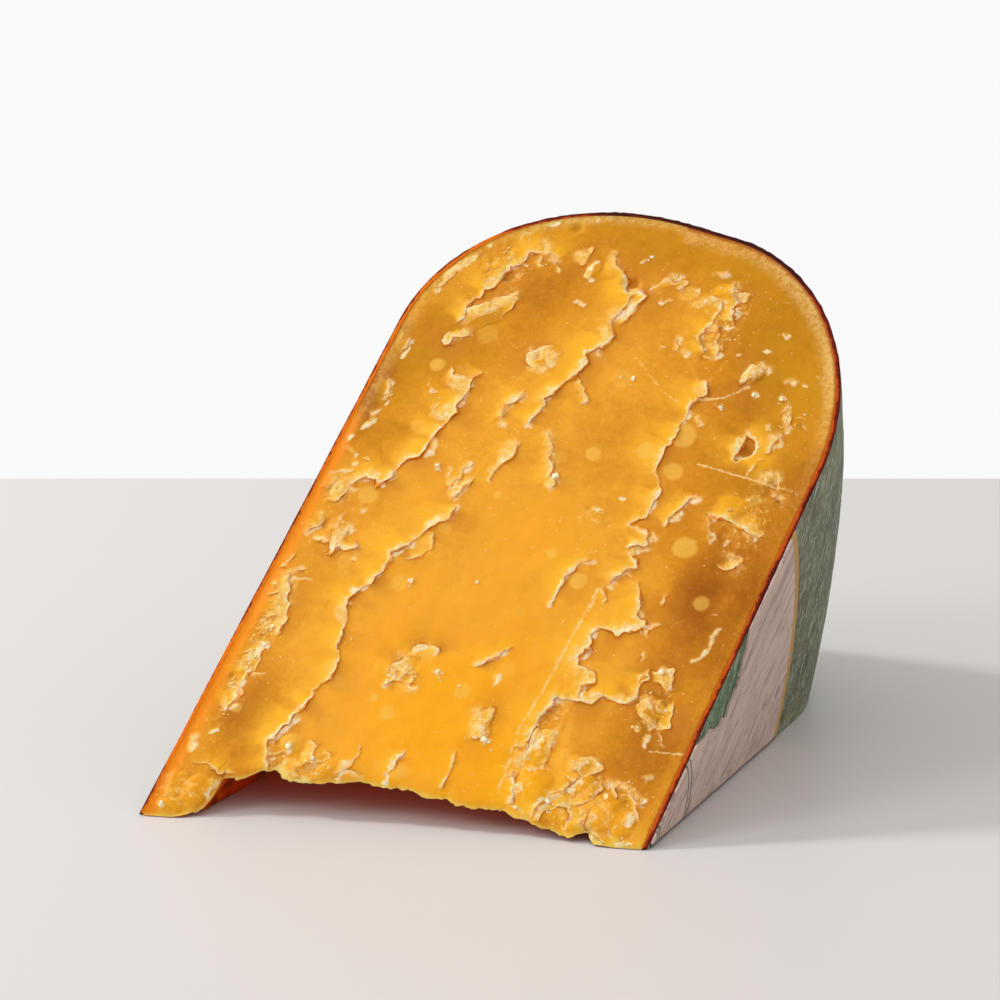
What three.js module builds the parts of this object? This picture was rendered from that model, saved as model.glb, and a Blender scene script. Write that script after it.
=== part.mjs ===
// A wedge of aged gouda, an eighth of a wheel, lying on one cut face with its ragged tip in front.
// Units are millimetres, +Z is up, +Y runs from the tip to the wheel's rim.
import * as THREE from "three";

// The wheel that the wedge was cut from
const wheelHeight = 120;
const wheelRadius = 167;
const leftRim = { width: 60, depth: 52 }; // how much of the height and of the radius is rounded at each flat
const rightRim = { width: 47, depth: 58 };
const rimUnevenness = 0.7;

// The two cuts
const wedgeAngle = THREE.MathUtils.degToRad(45);
const axisTilt = THREE.MathUtils.degToRad(11.8); // the wheel's axis dips to the right as the piece lies

// The hollow under the broken tip
const hollowBack = 46; // how far behind the wheel's centre the hollow reaches
const hollowCorner = 0.4; // what is left of the hollow where the tip stands on the table
const fullHollowLift = 5; // the lip height from which the hollow has its full reach
const vaultShare = 0.45; // how far the vault rises from the lip towards the true radial cut

// The paper label on the right flat
const labelRadius = 92;
const labelThickness = 0.4;
const labelGap = 0.3;
const labelFloorGap = 0.5;

// How finely the wedge is divided
const columns = 64;
const frontRows = 47;
const rimRows = 12;
const baseRows = 6;
const vaultRows = 8;
const columnEvenness = 0.4; // 1 spaces the columns alike, less crowds them towards the flats

// Height of the broken tip above the table, from the left flat to the right one: [across, height]
const lipHeights = [
  [-60, 0],
  [-50, 0],
  [-45.5, 7],
  [-35, 10.5],
  [-29, 8.6],
  [-3, 8.9],
  [20, 6.4],
  [28, 5.6],
  [34, 3.2],
  [44, 2],
  [50, 0],
  [60, 0],
];

// Tears in the cut face, each listed from the rim towards the tip: [across, out from the centre].
// The cheese stands proud on the left of a tear and drops to its right.
const tears = [
  { lift: 1.5, guide: [[-29, 146], [-37, 141], [-41, 133], [-46, 124], [-44, 112]] },
  { lift: 1.5, guide: [[-33, 134], [-33, 128], [-38, 121], [-44, 112]] },
  { lift: 1.9, guide: [[-34, 108], [-34, 97], [-36, 84], [-41, 73], [-50, 68], [-51, 60]] },
  { lift: 1.9, guide: [[-23, 82], [-22, 70], [-28, 57], [-33, 51], [-37, 35], [-32, 20], [-34, 3], [-39, -9]] },
  { lift: 1.9, guide: [[-16, 151], [-8, 146], [-2, 142], [-7, 132], [-10, 121], [-13, 106], [-18, 80]] },
  { lift: 1.1, guide: [[-10, 115], [-4, 110], [-6, 103]] },
  { lift: 1.3, guide: [[-20, 110], [-23, 101], [-21, 94]] },
  { lift: 1.5, guide: [[-10, 100], [-5, 91], [-1, 81]] },
  { lift: 2.0, guide: [[14, 156], [22, 151], [23, 141], [19, 133]] },
  { lift: 2.0, guide: [[23, 126], [22, 111], [20, 98], [24, 87], [21, 81], [27, 77], [21, 71]] },
  { lift: 1.8, guide: [[27, 70], [31, 61], [36, 55], [25, 50], [25, 41], [29, 34], [22, 24], [21, 12], [24, -3]] },
  { lift: 1.3, guide: [[42, 44], [42, 36], [34, 34], [29, 30]] },
  { lift: 1.3, guide: [[38, 92], [44, 89], [52, 86], [51, 77]] },
  { lift: 1.0, guide: [[18, 68], [12, 62], [12, 51]] },
  { lift: 1.2, guide: [[-55, 38], [-50, 27], [-52, 8], [-54, -2]] },
];
const proudReach = 9; // a torn flake sinks back to the face over this distance
const sunkReach = 7;
const sunkShare = 0.55; // how far the low side drops, as a share of the lift
const tearTaper = 0.16; // the share of a tear over which its ends die out

// Rough ground: the crumbled right foot and the set-back left foot
const rightFoot = { across: 41, out: 8, reachAcross: 18, reachOut: 15, depth: 2.4, grain: 6.5 };
const leftFoot = { right: -44, top: -18, depth: 2.2 };
const tipRounding = 1.2;
const tipReach = 3;
const broadWave = { depth: 0.7, across: 26, out: 48 };
const rindMargin = 4; // the relief dies out this close to the rind
const floorMargin = 3; // and this close to the table

const half = wheelHeight / 2;
const slopeAcross = Math.tan(axisTilt);
const clamp01 = (value) => Math.min(1, Math.max(0, value));
const ease = (value) => clamp01(value) ** 2 * (3 - 2 * clamp01(value));

// A repeatable random number from 0 to 1 for a place on a whole-number grid
function chance(i, j, seed) {
  const wave = Math.sin(i * 127.1 + j * 311.7 + seed * 74.7) * 43758.5453;
  return wave - Math.floor(wave);
}

// Smooth noise from -1 to 1 over a plane
function noise(u, v, seed) {
  const i = Math.floor(u);
  const j = Math.floor(v);
  const a = ease(u - i);
  const b = ease(v - j);
  const low = chance(i, j, seed) * (1 - a) + chance(i + 1, j, seed) * a;
  const high = chance(i, j + 1, seed) * (1 - a) + chance(i + 1, j + 1, seed) * a;
  return 2 * (low * (1 - b) + high * b) - 1;
}

// The value of a list of [place, value] pairs between its places, on straight lines
function between(pairs, place) {
  const next = pairs.findIndex(([start]) => start >= place);
  if (next <= 0) return pairs[0][1];
  const [x0, y0] = pairs[next - 1];
  const [x1, y1] = pairs[next];
  return y0 + ((place - x0) / (x1 - x0)) * (y1 - y0);
}

// The wheel's radius at a place across its height: straight flats and an elliptical rim
function rimRadius(across) {
  const { width, depth } = across < 0 ? leftRim : rightRim;
  const past = clamp01((Math.abs(across) - (half - width)) / width);
  return wheelRadius - depth + depth * Math.sqrt(1 - past * past);
}

// Where the table crosses the front cut, and how high the broken tip ends above it
const tableOut = (across) => (-(half - across) * slopeAcross) / Math.sin(wedgeAngle);
const lipHeight = (across) => between(lipHeights, across);
const lipOut = (across) => tableOut(across) + lipHeight(across) / (Math.sin(wedgeAngle) * Math.cos(axisTilt));

// How far a place on the front cut lies inside the rind
function rindDistance(across, out) {
  const { width, depth } = across < 0 ? leftRim : rightRim;
  const past = Math.max(0, Math.abs(across) - (half - width)) / width;
  const above = Math.max(0, out - (wheelRadius - depth)) / depth;
  return Math.min(half - Math.abs(across), (1 - Math.hypot(past, above)) * width);
}

// How far one tear lifts or sinks a place of the face
function tearAt({ lift, guide }, across, out) {
  let nearest = Infinity;
  let side = 0;
  let along = 0;
  guide.slice(1).forEach(([x1, y1], index) => {
    const [x0, y0] = guide[index];
    const dx = x1 - x0;
    const dy = y1 - y0;
    const share = clamp01(((across - x0) * dx + (out - y0) * dy) / (dx * dx + dy * dy));
    const distance = Math.hypot(across - x0 - share * dx, out - y0 - share * dy);
    if (distance < nearest) {
      nearest = distance;
      side = dx * (out - y0) - dy * (across - x0);
      along = (index + share) / (guide.length - 1);
    }
  });
  const strength = lift * ease(along / tearTaper) * ease((1 - along) / tearTaper);
  if (side < 0) return strength * Math.exp(-nearest / proudReach);
  return -strength * sunkShare * Math.exp(-nearest / sunkReach);
}

// Crumbled ground: each cell of a loose grid has a height of its own
function crumble(across, out, grain) {
  let nearest = Infinity;
  let height = 0;
  const column = Math.floor(across / grain);
  const row = Math.floor(out / grain);
  for (let i = column - 1; i <= column + 1; i += 1) {
    for (let j = row - 1; j <= row + 1; j += 1) {
      const x = (i + chance(i, j, 11)) * grain;
      const y = (j + chance(i, j, 12)) * grain;
      const distance = Math.hypot(across - x, out - y);
      if (distance < nearest) {
        nearest = distance;
        height = chance(i, j, 13) + ((across - x) / grain) * (chance(i, j, 14) - 0.5);
      }
    }
  }
  return height;
}

// The height of the front cut above its plane
function relief(across, out) {
  const x = across + 1.6 * noise(across / 7, out / 7, 1) + 0.7 * noise(across / 2.7, out / 2.7, 2);
  const y = out + 1.6 * noise(across / 7, out / 7, 3) + 0.7 * noise(across / 2.7, out / 2.7, 4);
  let height = broadWave.depth * noise(across / broadWave.across, out / broadWave.out, 5);
  tears.forEach((tear) => {
    height += tearAt(tear, x, y);
  });
  const foot = Math.hypot((x - rightFoot.across) / rightFoot.reachAcross, (y - rightFoot.out) / rightFoot.reachOut);
  height -= rightFoot.depth * ease(1.6 - 1.4 * foot) * crumble(x, y, rightFoot.grain);
  height -= leftFoot.depth * ease((leftFoot.right - x) / 2) * ease((leftFoot.top - y) / 2);
  height -= tipRounding * Math.exp(-(out - lipOut(across)) / tipReach);
  const floorClearance = (out - tableOut(across)) / floorMargin;
  return height * ease(rindDistance(across, out) / rindMargin) * ease(floorClearance);
}

// A place on the wedge in the wheel's own frame: out along the table cut, out of it, and along the axis.
// The axis coordinate is 0 at the right flat.
const place = (back, up, across) => [back, up, across - half];
const tableUp = (across) => -(half - across) * slopeAcross;

// One closed outline round the wedge, at one place across the wheel's height
function outline(across) {
  const radius = rimRadius(across);
  const low = lipOut(across);
  const floor = tableUp(across);
  const points = [];
  for (let row = 0; row < frontRows; row += 1) {
    const out = low + ((radius - low) * row) / frontRows;
    const height = relief(across, out);
    const back = out * Math.cos(wedgeAngle) - height * Math.sin(wedgeAngle);
    const up = out * Math.sin(wedgeAngle) + height * Math.cos(wedgeAngle);
    points.push(place(back, Math.max(up, floor), across));
  }
  const floorAngle = Math.asin(floor / radius);
  const roundness = ease((half - Math.abs(across)) / rindMargin);
  for (let row = 0; row < rimRows; row += 1) {
    const share = row / rimRows;
    const angle = wedgeAngle + (floorAngle - wedgeAngle) * share;
    const swell = rimUnevenness * roundness * Math.sin(Math.PI * share) * noise(across / 22, angle * 6, 6);
    points.push(place((radius + swell) * Math.cos(angle), (radius + swell) * Math.sin(angle), across));
  }
  const lip = points[0];
  const lift = lipHeight(across);
  const reach = Math.max(hollowCorner, (hollowBack - lip[0]) * ease(lift / fullHollowLift));
  const baseStart = radius * Math.cos(floorAngle);
  const baseEnd = lip[0] + reach;
  for (let row = 0; row < baseRows; row += 1) {
    points.push(place(baseStart + ((baseEnd - baseStart) * row) / baseRows, floor, across));
  }
  const vault = vaultShare * Math.max(0, (half - across) * Math.sin(axisTilt) - lift) * ease(lift / fullHollowLift);
  const lipUp = lip[1] - floor;
  for (let row = 0; row < vaultRows; row += 1) {
    const share = 1 - row / vaultRows; // 1 at the back of the hollow, 0 at the lip
    const height = (lipUp + vault * Math.sin(Math.PI * share)) * (1 - share ** 3) ** 0.7;
    points.push(place(lip[0] + reach * share, floor + height, across));
  }
  return points;
}

// The closed solid: outlines side by side, and each flat closed by a fan from its middle
function wedgeGeometry() {
  const outlines = [];
  for (let column = 0; column <= columns; column += 1) {
    const v = 1 - (2 * column) / columns;
    outlines.push(outline(half * (columnEvenness * v + (1 - columnEvenness) * Math.sin((Math.PI / 2) * v))));
  }
  const around = outlines[0].length;
  const middles = [outlines[0], outlines[columns]].map(([, , ...flat]) => {
    const sum = flat.reduce((total, point) => total.map((value, axis) => value + point[axis]), [0, 0, 0]);
    return sum.map((value) => value / flat.length);
  });
  const faces = [];
  const rightMiddle = (columns + 1) * around;
  for (let row = 0; row < around; row += 1) {
    const next = (row + 1) % around;
    for (let column = 0; column < columns; column += 1) {
      const a = column * around + row;
      const b = column * around + next;
      faces.push(a, b, a + around, b, b + around, a + around);
    }
    faces.push(rightMiddle, next, row);
    faces.push(rightMiddle + 1, columns * around + row, columns * around + next);
  }
  const geometry = new THREE.BufferGeometry();
  geometry.setAttribute("position", new THREE.Float32BufferAttribute([...outlines, middles].flat(2), 3));
  geometry.setIndex(faces);
  return geometry;
}

// The label: a sector of a paper disc round the wheel's centre, cut through with the cheese
function labelGeometry() {
  const tip = labelFloorGap + labelGap / Math.cos(wedgeAngle);
  const start = Math.asin(labelFloorGap / labelRadius);
  const end = wedgeAngle - labelGap / labelRadius;
  const shape = new THREE.Shape();
  shape.moveTo(tip, labelFloorGap);
  shape.lineTo(labelRadius * Math.cos(start), labelFloorGap);
  shape.absarc(0, 0, labelRadius, start, end, false);
  return new THREE.ExtrudeGeometry(shape, { depth: labelThickness, bevelEnabled: false, curveSegments: 24 });
}

const paste = new THREE.MeshStandardMaterial({ color: 0xe8a035, roughness: 0.5, metalness: 0 });
const paper = new THREE.MeshStandardMaterial({ color: 0xa8908c, roughness: 0.7, metalness: 0 });

const wedge = new THREE.Mesh(wedgeGeometry(), paste);
wedge.name = "cheese_wedge";

const label = new THREE.Mesh(labelGeometry(), paper);
label.name = "paper_label";
label.position.z = labelGap;

// The wheel's frame, turned so that the lower cut lies on the table
const wheel = new THREE.Group();
const alongTable = new THREE.Vector3(0, 1, 0);
const outOfCut = new THREE.Vector3(Math.sin(axisTilt), 0, Math.cos(axisTilt));
const alongAxis = new THREE.Vector3(Math.cos(axisTilt), 0, -Math.sin(axisTilt));
wheel.quaternion.setFromRotationMatrix(new THREE.Matrix4().makeBasis(alongTable, outOfCut, alongAxis));
wheel.add(wedge, label);

// The origin is under the middle of the piece, on the table
const cheese = new THREE.Group();
cheese.add(wheel);
const bounds = new THREE.Box3().setFromObject(cheese, true);
const middle = bounds.getCenter(new THREE.Vector3());
wheel.position.set(-middle.x, -middle.y, 0);

export default cheese;
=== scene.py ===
# A wedge of aged gouda: torn paste, wax coat, paper label and a few crumbs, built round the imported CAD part.
# Shapes are worked out in millimetres on the wheel: across it between the flats, and out from its centre.
from math import cos, pi, radians, sin, tan

import bpy
import numpy as np
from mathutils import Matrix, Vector


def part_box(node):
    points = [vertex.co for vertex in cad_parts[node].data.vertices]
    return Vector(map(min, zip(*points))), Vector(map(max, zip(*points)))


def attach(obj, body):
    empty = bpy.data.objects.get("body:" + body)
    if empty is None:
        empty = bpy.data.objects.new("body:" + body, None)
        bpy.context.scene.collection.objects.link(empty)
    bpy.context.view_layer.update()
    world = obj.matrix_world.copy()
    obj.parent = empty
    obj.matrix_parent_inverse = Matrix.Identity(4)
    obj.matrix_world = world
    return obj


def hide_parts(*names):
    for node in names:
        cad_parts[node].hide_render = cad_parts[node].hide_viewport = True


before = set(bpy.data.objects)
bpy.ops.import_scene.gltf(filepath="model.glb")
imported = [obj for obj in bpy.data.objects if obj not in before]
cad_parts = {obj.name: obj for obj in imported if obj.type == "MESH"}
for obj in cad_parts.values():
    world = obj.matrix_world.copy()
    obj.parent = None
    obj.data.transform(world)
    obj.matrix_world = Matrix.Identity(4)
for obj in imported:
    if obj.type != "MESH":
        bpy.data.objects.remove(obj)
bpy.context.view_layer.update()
print("frame loaded:", sorted(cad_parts))

wheel = {
    "height": 120.0,  # between the flats
    "radius": 167.0,
    "leftRim": (60.0, 52.0),  # how much of the height and of the radius is rounded
    "rightRim": (47.0, 58.0),
    "wedgeAngle": radians(45),
    "axisTilt": radians(11.8),  # the axis dips to the right as the piece lies
    "coat": 1.2,  # thickness of the wax coat
}
half = wheel["height"] / 2
slope = tan(wheel["axisTilt"])
cutSin, cutCos = sin(wheel["wedgeAngle"]), cos(wheel["wedgeAngle"])
boxLow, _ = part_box("cheese_wedge")
hub = np.array([boxLow.x * 1000 + wheel["height"] / cos(wheel["axisTilt"]),
                boxLow.y * 1000 + wheel["height"] * slope, 0.0])


# Shared mathematics

def clamp01(value):
    return np.clip(value, 0.0, 1.0)


def ease(value):
    value = clamp01(value)
    return value * value * (3 - 2 * value)


def lattice(i, j, seed):
    # a repeatable number from 0 to 1 for each place on a whole-number grid
    h = (i * 374761393 + j * 668265263 + seed * 974634777) & 0xFFFFFFFF
    h = ((h ^ (h >> 13)) * 1274126177) & 0xFFFFFFFF
    return ((h ^ (h >> 16)) & 0xFFFF) / 65535


def noise(u, v, seed):
    # smooth noise from -1 to 1: the lattice numbers round a point, blended with an eased weight
    i, j = np.floor(u).astype(np.int64), np.floor(v).astype(np.int64)
    a, b = ease(u - i), ease(v - j)
    low = lattice(i, j, seed) * (1 - a) + lattice(i + 1, j, seed) * a
    high = lattice(i, j + 1, seed) * (1 - a) + lattice(i + 1, j + 1, seed) * a
    return 2 * (low * (1 - b) + high * b) - 1


def layered(u, v, seed, layers):
    # noise over noise, each layer twice as fine and half as strong
    return sum(noise(u * 2 ** n, v * 2 ** n, seed + n) / 2 ** n for n in range(layers))


def shaken(x, y, *waves):
    # a place pushed about by noise; each wave is a length, a strength and the seeds for both directions
    u, v = x, y
    for length, strength, seedX, seedY in waves:
        u = u + strength * noise(x / length, y / length, seedX)
        v = v + strength * noise(x / length, y / length, seedY)
    return u, v


def cells(u, v, grain, seed):
    # broken ground: a number from 0 to 1 for the nearest of loosely placed middles, tilted a little,
    # and how far the point is from a border between two of them
    column, row = np.floor(u / grain).astype(np.int64), np.floor(v / grain).astype(np.int64)
    first, second = np.full(u.shape, 1e9), np.full(u.shape, 1e9)
    height = np.zeros(u.shape)
    for di in (-1, 0, 1):
        for dj in (-1, 0, 1):
            i, j = column + di, row + dj
            x = (i + lattice(i, j, seed)) * grain
            y = (j + lattice(i, j, seed + 1)) * grain
            gap = np.hypot(u - x, v - y)
            tilted = lattice(i, j, seed + 2) + (u - x) / grain * (lattice(i, j, seed + 3) - 0.5)
            nearer = gap < first
            second = np.where(nearer, first, np.minimum(second, gap))
            height = np.where(nearer, tilted, height)
            first = np.where(nearer, gap, first)
    return height, (second - first) / grain


def toRow(back, up, across):
    # the wheel's frame turned so that the lower cut lies on the table, in metres
    along = across - half
    x = hub[0] + up * sin(wheel["axisTilt"]) + along * cos(wheel["axisTilt"])
    z = up * cos(wheel["axisTilt"]) - along * sin(wheel["axisTilt"])
    return np.stack(np.broadcast_arrays(x, hub[1] + back, z), -1) * 0.001


def rimSize(across):
    # how much of the height and of the radius is rounded on this side of the wheel
    return [np.where(across < 0, wheel["leftRim"][n], wheel["rightRim"][n]) for n in (0, 1)]


def rimRadius(across, inset):
    # straight flats and an elliptical rim, shrunk by an inset
    width, depth = rimSize(across)
    past = clamp01((np.abs(across) - (half - width)) / (width - inset))
    return wheel["radius"] - depth + (depth - inset) * np.sqrt(1 - past * past)


def rindGap(across, out):
    # how far a place on the front cut lies inside the rind
    width, depth = rimSize(across)
    past = np.maximum(0, np.abs(across) - (half - width)) / width
    above = np.maximum(0, out - (wheel["radius"] - depth)) / depth
    return np.minimum(half - np.abs(across), (1 - np.hypot(past, above)) * width)


def tableUp(across):
    return -(half - across) * slope


def tableOut(across):
    return tableUp(across) / cutSin


def volumeOf(points, quads):
    a, b, c, d = (points[quads[:, n]] for n in range(4))
    return (np.sum(a * np.cross(b, c)) + np.sum(a * np.cross(c, d))) / 6


def meshPiece(name, material, points, quads, triangles=None, smooth=None, marks=None, closed=True):
    # puts whole arrays into a mesh, with the faces of a closed piece turned outwards, and links it
    triangles = np.zeros((0, 3), int) if triangles is None else triangles
    if closed and volumeOf(points, quads) < 0:
        quads, triangles = quads[:, ::-1], triangles[:, ::-1]
    corners = np.concatenate([np.ravel(quads), np.ravel(triangles)]).astype(np.int32)
    sizes = np.concatenate([np.full(len(quads), 4), np.full(len(triangles), 3)])
    mesh = bpy.data.meshes.new(name)
    mesh.vertices.add(len(points))
    mesh.vertices.foreach_set("co", np.ascontiguousarray(points, np.float32).ravel())
    mesh.loops.add(len(corners))
    mesh.loops.foreach_set("vertex_index", corners)
    mesh.polygons.add(len(sizes))
    mesh.polygons.foreach_set("loop_start", np.concatenate([[0], np.cumsum(sizes)[:-1]]).astype(np.int32))
    mesh.polygons.foreach_set("use_smooth", np.full(len(sizes), smooth is not None))
    mesh.update(calc_edges=True)
    mesh.validate()
    for mark, values in (marks or {}).items():
        layer = mesh.attributes.new(mark, "FLOAT", "POINT")
        layer.data.foreach_set("value", np.ascontiguousarray(values, np.float32).ravel())
    if smooth:
        mesh.set_sharp_from_angle(angle=radians(smooth))
    mesh.materials.append(material)
    piece = bpy.data.objects.new(name, mesh)
    bpy.context.scene.collection.objects.link(piece)
    print(name + ":", len(points), "places")
    return piece


def loopFaces(columns, rows):
    # quads of a grid whose rows run round and whose columns run along; point = column * rows + row
    column, row = np.meshgrid(np.arange(columns - 1), np.arange(rows), indexing="ij")
    a = column * rows + row
    b = column * rows + (row + 1) % rows
    return np.stack([a, a + rows, b + rows, b], -1).reshape(-1, 4)


def fan(middle, ring):
    # triangles from one place to a ring of places
    return np.stack([np.full(len(ring), middle), ring, np.roll(ring, -1)], -1)


# Shader tools

def colour(red, green, blue):
    # a screen colour from 0 to 255 as the linear one that a socket takes
    share = [value / 255 for value in (red, green, blue)]
    return (*[s / 12.92 if s <= 0.04045 else ((s + 0.055) / 1.055) ** 2.4 for s in share], 1.0)


class Bench:
    # builds one shader tree: a value given to a node is linked if it is a socket, and else set

    def __init__(self, tree):
        self.tree = tree

    def feed(self, node, inputs):
        for name, value in inputs.items():
            if isinstance(value, bpy.types.NodeSocket):
                self.tree.links.new(value, node.inputs[name])
            else:
                node.inputs[name].default_value = value

    def place(self, kind, inputs=None, **settings):
        made = self.tree.nodes.new("ShaderNode" + kind)
        for name, value in settings.items():
            setattr(made, name, value)
        self.feed(made, inputs or {})
        return made

    def calc(self, operation, first, *others):
        # a chain of one operation over all values
        for other in others or (0.0,):
            first = self.place("Math", {0: first, 1: other}, operation=operation).outputs[0]
        return first

    def add(self, *values):
        return self.calc("ADD", *values)

    def times(self, *values):
        return self.calc("MULTIPLY", *values)

    def swing(self, source, amount):
        # noise round a half as a swing round nothing
        return self.times(self.calc("SUBTRACT", source, 0.5), amount)

    def ramp(self, value, start, end, low=0.0, high=1.0):
        # an eased step from low at start to high at end
        inputs = {"Value": value, "From Min": start, "From Max": end, "To Min": low, "To Max": high}
        return self.place("MapRange", inputs, interpolation_type="SMOOTHSTEP").outputs[0]

    def blend(self, base, factor, second):
        return self.place("Mix", {0: factor, 6: base, 7: second}, data_type="RGBA").outputs[2]

    def mark(self, name):
        return self.place("Attribute", attribute_name=name).outputs["Fac"]

    def noise(self, where, scale, detail, roughness, distortion=0.0):
        return self.place("TexNoise", {"Vector": where, "Scale": scale, "Detail": detail,
                                       "Roughness": roughness, "Distortion": distortion}).outputs["Fac"]

    def distance(self, first, second):
        return self.calc("ABSOLUTE", self.calc("SUBTRACT", first, second))

    def paint(self, base, colours, layers):
        # lays one colour after another over the base, each by its own factor
        for factor, name in layers:
            base = self.blend(base, factor, colours[name])
        return base

    def bump(self, height, strength, distance):
        inputs = {"Height": height, "Strength": strength, "Distance": distance}
        return self.place("Bump", inputs).outputs[0]

    def mottle(self, where, patchScale, grainScale):
        inputs = {"Vector": where, "Patch Scale": patchScale, "Grain Scale": grainScale}
        return self.place("Group", inputs, node_tree=mottleGroup).outputs


def makeMottleGroup():
    # soft patches with grain in them: patches and specks run from 0 to 1, and the grain is a height
    group = bpy.data.node_groups.new("softMottle", "ShaderNodeTree")
    for name, kind in (("Vector", "Vector"), ("Patch Scale", "Float"), ("Grain Scale", "Float")):
        group.interface.new_socket(name=name, in_out="INPUT", socket_type="NodeSocket" + kind)
    for name in ("Patches", "Grain", "Specks"):
        group.interface.new_socket(name=name, in_out="OUTPUT", socket_type="NodeSocketFloat")
    bench = Bench(group)
    where, patchScale, grainScale = group.nodes.new("NodeGroupInput").outputs[:3]
    spots = bench.place("TexVoronoi", {"Vector": where, "Scale": grainScale, "Randomness": 1.0})
    chosen = bench.place("SeparateColor", {0: spots.outputs["Color"]}).outputs[0]
    dot = bench.ramp(spots.outputs["Distance"], 0.34, 0.16)
    bench.feed(group.nodes.new("NodeGroupOutput"), {
        "Patches": bench.ramp(bench.noise(where, patchScale, 4.0, 0.55), 0.3, 0.7),
        "Grain": bench.noise(where, grainScale, 5.0, 0.65),
        "Specks": bench.times(dot, bench.ramp(chosen, 0.86, 0.96)),
    })
    return group


mottleGroup = makeMottleGroup()


def newMaterial(name):
    material = bpy.data.materials.new(name)
    material.use_nodes = True
    material.node_tree.nodes.clear()
    bench = Bench(material.node_tree)
    shader = bench.place("BsdfPrincipled")
    bench.place("OutputMaterial", {"Surface": shader.outputs[0]})
    return material, bench, shader, bench.place("TexCoord").outputs["Object"]


# The paste

paste = {
    "columns": 232,
    "frontRows": 372,
    "rimRows": 6,
    "baseRows": 10,
    "vaultRows": 30,
    "columnEvenness": 0.75,  # less crowds the columns towards the flats
    "inset": 1.18,  # the paste ends under the coat
    "rindMargin": 3.0,  # the relief dies out this close to the rind
    "snap": 0.5,  # places this close to a tear are drawn onto it
    "undercut": 0.06,  # how far the low side reaches under a flake
    "hollowBack": 46.0,  # how far behind the wheel's centre the hollow under the tip reaches
    "hollowCorner": 0.4,
    "fullHollowLift": 5.0,
    "vaultShare": 0.45,
    "tipRounding": 0.9,
    "footSide": -45.8,
    "footCrowding": 5.0,
    "scratchReach": 0.365,
}

# The broken tip seen from the front, from the left flat to the right one: [across, out]
brokenEdge = [
    (-60, -35.5), (-53.3, -33.8), (-50.2, -32), (-47.4, -29.4), (-46, -27.4), (-45.3, -25), (-45.15, -21.2),
    (-45, -19), (-40.7, -17.5), (-37.2, -14.7), (-33.5, -11.8), (-31.1, -13.6), (-28.7, -14),
    (-23.7, -12.8), (-19.2, -10.9), (-12.5, -8), (-4.6, -6.9), (-2.7, -5.9), (5.4, -5.6), (11.1, -5.1),
    (16.7, -4.4), (19.8, -3.3), (23.3, -2.2), (25.9, -2.8), (31, -3.4), (33.1, -3.5), (37.3, -2.8),
    (40.3, -3), (44.8, -1), (45.3, -1.8), (47.4, -3.1), (51.6, -2.4), (57.4, -0.9), (60, 0),
]

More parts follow.
